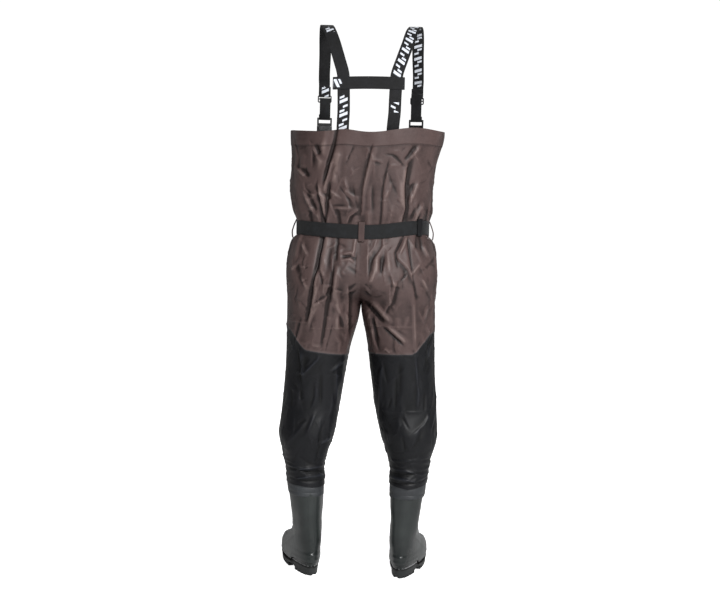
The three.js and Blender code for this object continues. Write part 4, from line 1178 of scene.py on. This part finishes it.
# %% Belt
waist, _ = even(half_outline([belt_middle]), 241)
waist = waist[0]
waist = np.concatenate([waist[::-1], waist[1:] * [-1, 1]])  # front, by the right, back, left, front
ahead = np.gradient(waist, axis=0)
ahead /= np.linalg.norm(ahead, axis=1, keepdims=True)
belt_line = waist + 3.6 * np.stack([-ahead[:, 1], ahead[:, 0]], -1)
flat_y = 121.1  # the belt lies flat behind its buckle
share = smooth((np.abs(belt_line[:, 0]) - 78) / 45)
front_half = belt_line[:, 1] > 0
level_y = np.maximum(belt_line[:, 1], flat_y) * (1 - share) + belt_line[:, 1] * share
belt_line[:, 1] = np.where(front_half, level_y, belt_line[:, 1])
bar = 46.4
loop = [(bar - 2.9 * math.sin(a), 125 + 2.9 * math.cos(a)) for a in np.linspace(0, np.pi, 7)]
keep = ~(front_half & (belt_line[:, 0] > -28) & (belt_line[:, 0] < bar + 12))
path = [(bar + 30, flat_y + 2.4), (bar + 9, 127), *loop, *belt_line[keep][::4], (-28, flat_y), (-2, flat_y)]
path = [(x, y, belt_middle + float(belt_lift(x, y))) for x, y in path]
belt = band("belt_webbing_band", path, upright, belt_width, plain_web)
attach(belt, "torso")
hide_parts("belt_webbing")
tail = [(-14, 124.2), (-14.6, 127), (-17, 128.7), (-26, 128.7), (-32, 125.4), (-38, 123.8), (-60, 123.8),
        (-82, 123.8)]
tail = [(x, y, belt_middle) for x, y in tail]
tail_band = band("belt_free_end", tail, upright, belt_width, plain_web)
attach(tail_band, "belt_plug")
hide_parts("belt_tail")

# %% Belt loops: cloth strips, sewn above and below the belt
# Each stop is a height from the belt's middle and a distance out from the waist.
back_stops = [(-28, 6), (-25, 6.5), (-20, 7.5), (0, 8.2), (21, 7.2), (27, 6), (29, 4.6)]
side_stops = [(-31, 13.5), (-27, 15.5), (-12, 16.5), (0, 13.5), (10, 10), (18, 6.5), (24, 4.2)]
for name, x, y, base, stops, width, thick in (
        ("back", 0, -1, 117, back_stops, 17, 2.4),
        ("left", -1, 0, 188, side_stops, 13, 3.4),
        ("right", 1, 0, 188, side_stops, 13, 3.4)):
    lift = float(belt_lift(x * base, y * base))
    path = [(x * (base + o), y * (base + o), belt_middle + lift + h) for h, o in stops]
    strip = band(f"belt_loop_{name}_strip", path, (abs(y), abs(x), 0), width, loop_cloth, thick, spacing=1.5)
    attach(strip, "torso")
    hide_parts(f"belt_loop_{name}")

# %% [markdown]
# ## Buckles
# Buckle, clips, sliders and keeper are moulded nylon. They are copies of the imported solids, with the doubled
# corners merged and the sharp edges rounded, as on any moulding.

# %% Buckle plastic and rounded copies
plastic = Finish("buckle_plastic", IOR=1.5)
place = plastic.place()
grain = plastic.noise(place, 900.0, 2.0)
cloudy = plastic.noise(place, 45.0, 3.0)
wear = cloudy.ramp(0.5, 0.8)
plastic_colour = plastic.mix(wear * 0.5, paint(20, 20, 22), paint(48, 48, 51))
plastic.end(plastic_colour, 0.34 + wear * 0.18, grain * 0.00006 + cloudy * 0.0002)


def rounded(node, name, body, raised=0.0):
    """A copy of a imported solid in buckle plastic, with merged corners and edges rounded by 0.6 mm."""
    made = frame["nodes"][node].copy()
    made.data = made.data.copy()
    made.name = name
    bpy.context.scene.collection.objects.link(made)
    made.parent = None
    made.matrix_world = frame["nodes"][node].matrix_world
    loose = bmesh.new()
    loose.from_mesh(made.data)
    bmesh.ops.remove_doubles(loose, verts=loose.verts, dist=2e-6)
    bmesh.ops.dissolve_limit(loose, angle_limit=math.radians(1), verts=loose.verts, edges=loose.edges)
    bmesh.ops.translate(loose, verts=loose.verts, vec=(0, 0, raised))
    loose.to_mesh(made.data)
    loose.free()
    made.data.polygons.foreach_set("use_smooth", np.ones(len(made.data.polygons), bool))
    made.data.materials.clear()
    made.data.materials.append(plastic.material)
    bevel = made.modifiers.new("rounded_edges", "BEVEL")
    bevel.width = 0.0006
    bevel.segments = 3
    bevel.limit_method = "ANGLE"
    bevel.angle_limit = math.radians(35)
    bevel.harden_normals = True
    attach(made, body)
    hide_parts(node)
    return made


rounded("belt_plug", "buckle_plug", "belt_plug")
rounded("belt_socket", "buckle_socket", "torso")
rounded("belt_keeper", "keeper_sleeve", "belt_keeper", raised=0.0118)  # the belt rides up there
for name in ("left", "right"):
    rounded(f"clip_plug_{name}", f"clip_{name}_plug_moulding", f"clip_{name}")
    rounded(f"clip_socket_{name}", f"clip_{name}_socket_moulding", "torso")
    rounded(f"strap_slider_{name}", f"slider_{name}_moulding", "torso")


# %% [markdown]
# ## Boots
# Each boot is moulded in one piece: a straight shaft, a heel cup and a foot with a rounded toe. A thicker
# band runs round the top, where the cloth is welded on. The sole has a heel block, a groove at the top of its
# side and separate lugs.

# %% Boot rubber and sole rubber
def rubber_finish(name, low, high, rough):
    """Matt moulded rubber: clouded bloom, fine pits, lighter scuffs, and painted shade in the grooves."""
    f = Finish(name, IOR=1.5)
    place = f.place()
    bloom = f.noise(place, 9.0, 4.0)
    pits = f.noise(place, 700.0, 2.0)
    scuff = f.noise(place, 55.0, 6.0, "RIDGED_MULTIFRACTAL", 0.7).ramp(0.62, 0.95)
    colour = f.mix(bloom.ramp(0.25, 0.75), low, high)
    colour = f.mix(scuff * 0.08, colour, paint(116, 120, 118))
    # the marked groove rows are painted almost black, a painted shade in the groove
    groove_shade = f.number("groove_shade")
    colour = f.mix(groove_shade, colour, paint(10, 11, 11))
    return f.end(colour, rough + (bloom - 0.5) * 0.3 + scuff * 0.03, pits * 0.00005 + bloom * 0.004)


boot_rubber = rubber_finish("boot_rubber", paint(32, 36, 36), paint(50, 55, 54), 0.34)
cuff_rubber = rubber_finish("cuff_rubber", paint(44, 46, 49), paint(62, 65, 68), 0.55)
sole_rubber = rubber_finish("sole_rubber", paint(34, 36, 37), paint(52, 54, 54), 0.62)

# %% Boot pieces
sole_height = 22.0  # where the sole takes its outline from the boot
heel_front = 38  # how far forward the heel block reaches
lug_step, lug_length, lug_height = 19, 14.5, 8.0
# the faces of a block whose corners are numbered round its lower end and then round its upper end
block_faces = [(3, 2, 1, 0), (4, 5, 6, 7), (0, 1, 5, 4), (1, 2, 6, 5), (2, 3, 7, 6), (3, 0, 4, 7)]
for name, side in (("left", -1), ("right", 1)):
    flip = side < 0
    outside = np.concatenate([np.linspace(20, 90, 40), np.linspace(90, 270, 84)[1:]])
    ring = boot_ring(outside)
    h = outside[:, None]
    x, y = ring[..., 0], ring[..., 1]
    away_out = ring - ring.mean(1, keepdims=True)
    away_out /= np.linalg.norm(away_out, axis=2, keepdims=True)
    lean_x = x - through(boot_marks, 4, h)
    behind = np.clip(-y / 40, 0, 1)
    # a flat band with a ridge runs up the back, with a spur below it, and a bead runs round the heel
    above_heel = behind * np.clip((h - 92) / 8, 0, 1)
    raise_by = 0.9 * np.clip((9 - np.abs(lean_x)) / 2, 0, 1) * above_heel
    raise_by += 0.5 * hump(lean_x, 0, 1.6) * above_heel
    raise_by += 0.6 * hump(h, 60, 3.4, 4) * hump(lean_x, 0, 18, 4) * behind
    raise_by += 1.0 * hump(h, 40, 5) * np.clip((60 - y) / 30, 0, 1)
    # wrinkles over the instep, slow waves on the shaft, and upright flutes
    for high, slope, size in ((112, 0.3, 1.3), (126, 0.16, 1.1), (141, 0.1, 0.9), (99, 0.5, 1.2)):
        raise_by += size * hump(h + slope * (y - 20), high, 4) * np.clip((y + 20) / 50, 0, 1)
    waves = np.sin(h / 26 + 1.3 * np.sin(x / 30))
    raise_by += 0.8 * waves * np.clip((h - 80) / 60, 0, 1) * np.clip((260 - h) / 30, 0, 1)
    shaft = smooth((h - 105) / 50) * smooth((262 - h) / 30)
    raise_by += 1.9 * shaft * np.sin(4 * np.arctan2(y, lean_x) + 0.9 * side + h / 90)
    ring = ring + away_out * raise_by[..., None]
    welt = [-9, -9, -8, -4.5, -1.2]  # the lowest rows lie further in, as a groove above the sole
    foot_in = np.concatenate([welt, np.zeros(len(outside) - len(welt))])[:, None, None]
    ring = ring + away_out * foot_in
    outside = h + 11.5 * smooth((heel_front - y) / 14) * np.clip((70 - h) / 50, 0, 1)
    # over the rim and down the inside: heights, and distances out from the boot's outline
    rim = np.array([(271.2, -0.6), (271.6, -1.8), (271, -3.2), (269, -3.8), (240, -4), (200, -4), (150, -4),
                    (110, -4), (80, -4), (50, -4.5), (32, -6), (27, -7), (22, -7)])
    inside = boot_ring(rim[:, 0], rim[:, 1])
    rim_heights = np.broadcast_to(rim[:, :1], (len(rim), outside.shape[1]))
    grid = boot_place(np.concatenate([ring, inside]), np.concatenate([outside, rim_heights]), name)
    # the groove rows at the foot of the shell get painted shade, fading out above them
    groove_shade = np.interp(np.arange(len(grid)), [4, 7], [1, 0])
    shell = closed_shell(f"boot_{name}_body", grid, boot_rubber, loop_rows=True, flip=flip, groove_shade=groove_shade)
    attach(shell, f"boot_{name}")
    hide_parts(f"boot_shell_{name}")

    # the cuff is a band with two thin grooves; the right one's upper edge rises towards both sides
    profile = np.array([
        (236, 0.2), (236.2, 1.2), (237, 1.9), (239, 2.2), (247, 2.2), (248, 1.5), (249.2, 1.5), (250.2, 2.2),
        (262, 2.3), (263, 1.7), (264, 1.7), (265, 2.3), (270, 2.3), (271.6, 1.8), (272, 0.9), (271.6, 0.2),
        (268, -0.1), (255, -0.1), (240, -0.1)])
    heights = profile[:, :1]
    grid = boot_ring(heights, profile[:, 1])
    notch = 9 * np.abs(grid[..., 0] - 11) / 50 if side > 0 else 0 * grid[..., 0]
    heights = heights + notch * smooth((heights - 252) / 14)
    grid = boot_place(grid, heights, name)
    cuff = closed_shell(f"boot_{name}_cuff", grid, cuff_rubber, loop_rows=True, flip=flip)
    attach(cuff, f"boot_{name}")
    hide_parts(f"boot_cuff_{name}")

    # the sole's rows: share of its height, distance out from the outline, and share of the outline's size
    rows = [(0, 0, 0), (0, 0, 0.5), (0, -8, 0.93), (0, -3.5, 1), (0.04, -2.4, 1), (0.12, -1.6, 1),
            (0.3, -1.2, 1), (0.6, -0.6, 1), (0.74, 0, 1), (0.79, -0.4, 1), (0.81, -2.6, 1), (0.83, -6, 1),
            (0.9, -8, 1), (1, -8.5, 1), (1, -11, 0.9), (1, 0, 0.5), (1, 0, 0)]
    share, out, scale = np.array(rows, float).T
    base = boot_ring(np.full(len(rows), sole_height), out, scale=scale)
    y = boot_ring([sole_height])[0, :, 1][None, :]
    heel = smooth((heel_front - y) / 14)
    base[..., 0] -= base[..., 0] * 0.1 * heel * (1 - 0.35 * share[:, None])
    base[..., 1] += 3.2 * heel * (1 - share[:, None]) * (share[:, None] < 0.84)
    low = 6 + 7 * hump(y, 44, 22, 4)
    top = 22.5 + 9.5 * heel
    height = low + (top - low) * share[:, None]
    grid = boot_place(base, height, name)
    # the sole's upper rows, at the groove, get painted shade
    sole = closed_shell(f"boot_{name}_sole", grid, sole_rubber, flip=flip, groove_shade=share > 0.7)
    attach(sole, f"boot_{name}")
    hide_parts(f"boot_outsole_{name}")

    # lugs: blocks side by side round the edge, but not under the arch, then bars across the sole
    edge = boot_ring([sole_height], [-2.2], columns=720)[0]
    at_heel = np.clip((heel_front - edge[:, 1]) / 14, 0, 1)
    edge[:, 0] *= 1 - 0.1 * at_heel
    edge[:, 1] += 3.0 * at_heel
    run = np.concatenate([[0], np.cumsum(np.linalg.norm(np.diff(edge, axis=0), axis=1))])
    quads = []
    for i in range(int(run[-1] // lug_step)):
        block = (i * lug_step, i * lug_step + lug_length)
        a, b = (np.array([np.interp(at, run, edge[:, k]) for k in (0, 1)]) for at in block)
        middle_y = (a[1] + b[1]) / 2
        if not 24 < middle_y < 62:
            inward = np.array([a[1] - b[1], b[0] - a[0]]) / np.linalg.norm(b - a)
            deep = 15 if middle_y > 40 else 13
            quads.append(np.array([a, b, b + deep * inward, a + deep * inward]))
    for y in (-34, -14, 92, 114, 136, 158, 180):
        half = 20 if y < 20 else 26 - abs(y - 130) * 0.12
        quads.append(np.array([(-half, y - 5), (half, y - 5), (half, y + 5), (-half, y + 5)], float))
    corners = [boot_place(quad, z, name) for quad in quads for z in (0.0, lug_height)]
    faces = [[8 * i + v for v in (f[::-1] if flip else f)] for i in range(len(quads)) for f in block_faces]
    lugs = mesh_object(f"boot_{name}_lugs", np.concatenate(corners), np.array(faces), sole_rubber)
    lugs.data.polygons.foreach_set("use_smooth", np.zeros(len(faces), bool))
    bevel = lugs.modifiers.new("rounded_edges", "BEVEL")
    bevel.width = 0.0009
    bevel.segments = 2
    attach(lugs, f"boot_{name}")
    print(name, "boot", len(shell.data.polygons) + len(cuff.data.polygons) + len(sole.data.polygons), "faces")

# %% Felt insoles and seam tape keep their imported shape
felt = Finish("insole_felt", Sheen_Weight=0.4)
place = felt.place()
fibre = felt.noise(place, 420.0, 5.0)
felt_colour = felt.mix(fibre.ramp(0.3, 0.7), paint(96, 96, 98), paint(150, 150, 152))
felt.end(felt_colour, 0.9 - fibre * 0.1, fibre * 0.0008)
tape = Finish("seam_tape", Coat_Weight=0.2)
place = tape.place()
cloudy = tape.noise(place, 40.0, 4.0)
knit = tape.noise(place, 800.0, 2.0)
tape_colour = tape.mix(cloudy, paint(60, 58, 60), paint(92, 90, 92))
tape.end(tape_colour, 0.35 + cloudy * 0.2, knit * 0.0002 + cloudy * 0.0003)
for node, finish in (("boot_insole_left", felt), ("boot_insole_right", felt), ("seam_tape_back", tape),
                     ("seam_tape_front", tape)):
    frame["nodes"][node].data.materials.clear()
    frame["nodes"][node].data.materials.append(finish.material)

# %% [markdown]
# ## A slight lean
# Worn waders never hang quite straight. The bib bellies a few millimetres to the left above the belt, and
# its hem, straps and clips lean to the right. The left suspender sits nearer the middle than the right one.

# %% Lean
above_belt = float(up(1100))  # a piece that ends below this keeps its place
belly_height, lean_start = float(up(1135)), float(up(pull_start))
for piece in bpy.context.scene.objects:
    if piece.type != "MESH" or piece.name in frame["nodes"]:
        continue
    co = np.empty(3 * len(piece.data.vertices), np.float32)
    piece.data.vertices.foreach_get("co", co)
    co = co.reshape(-1, 3)
    if co[:, 2].max() < above_belt:
        continue
    leaning = smooth((co[:, 2] - lean_start) / 0.1)
    lean = -0.006 * hump(co[:, 2], belly_height, 0.055) + 0.008 * leaning
    if "left" in piece.name:
        lean += 0.006 * leaning
    co[:, 0] += lean
    piece.data.vertices.foreach_set("co", co.ravel())
    piece.data.update()
    print(piece.name, "leans by", round(float(lean.max()) * 1000, 1), "mm")
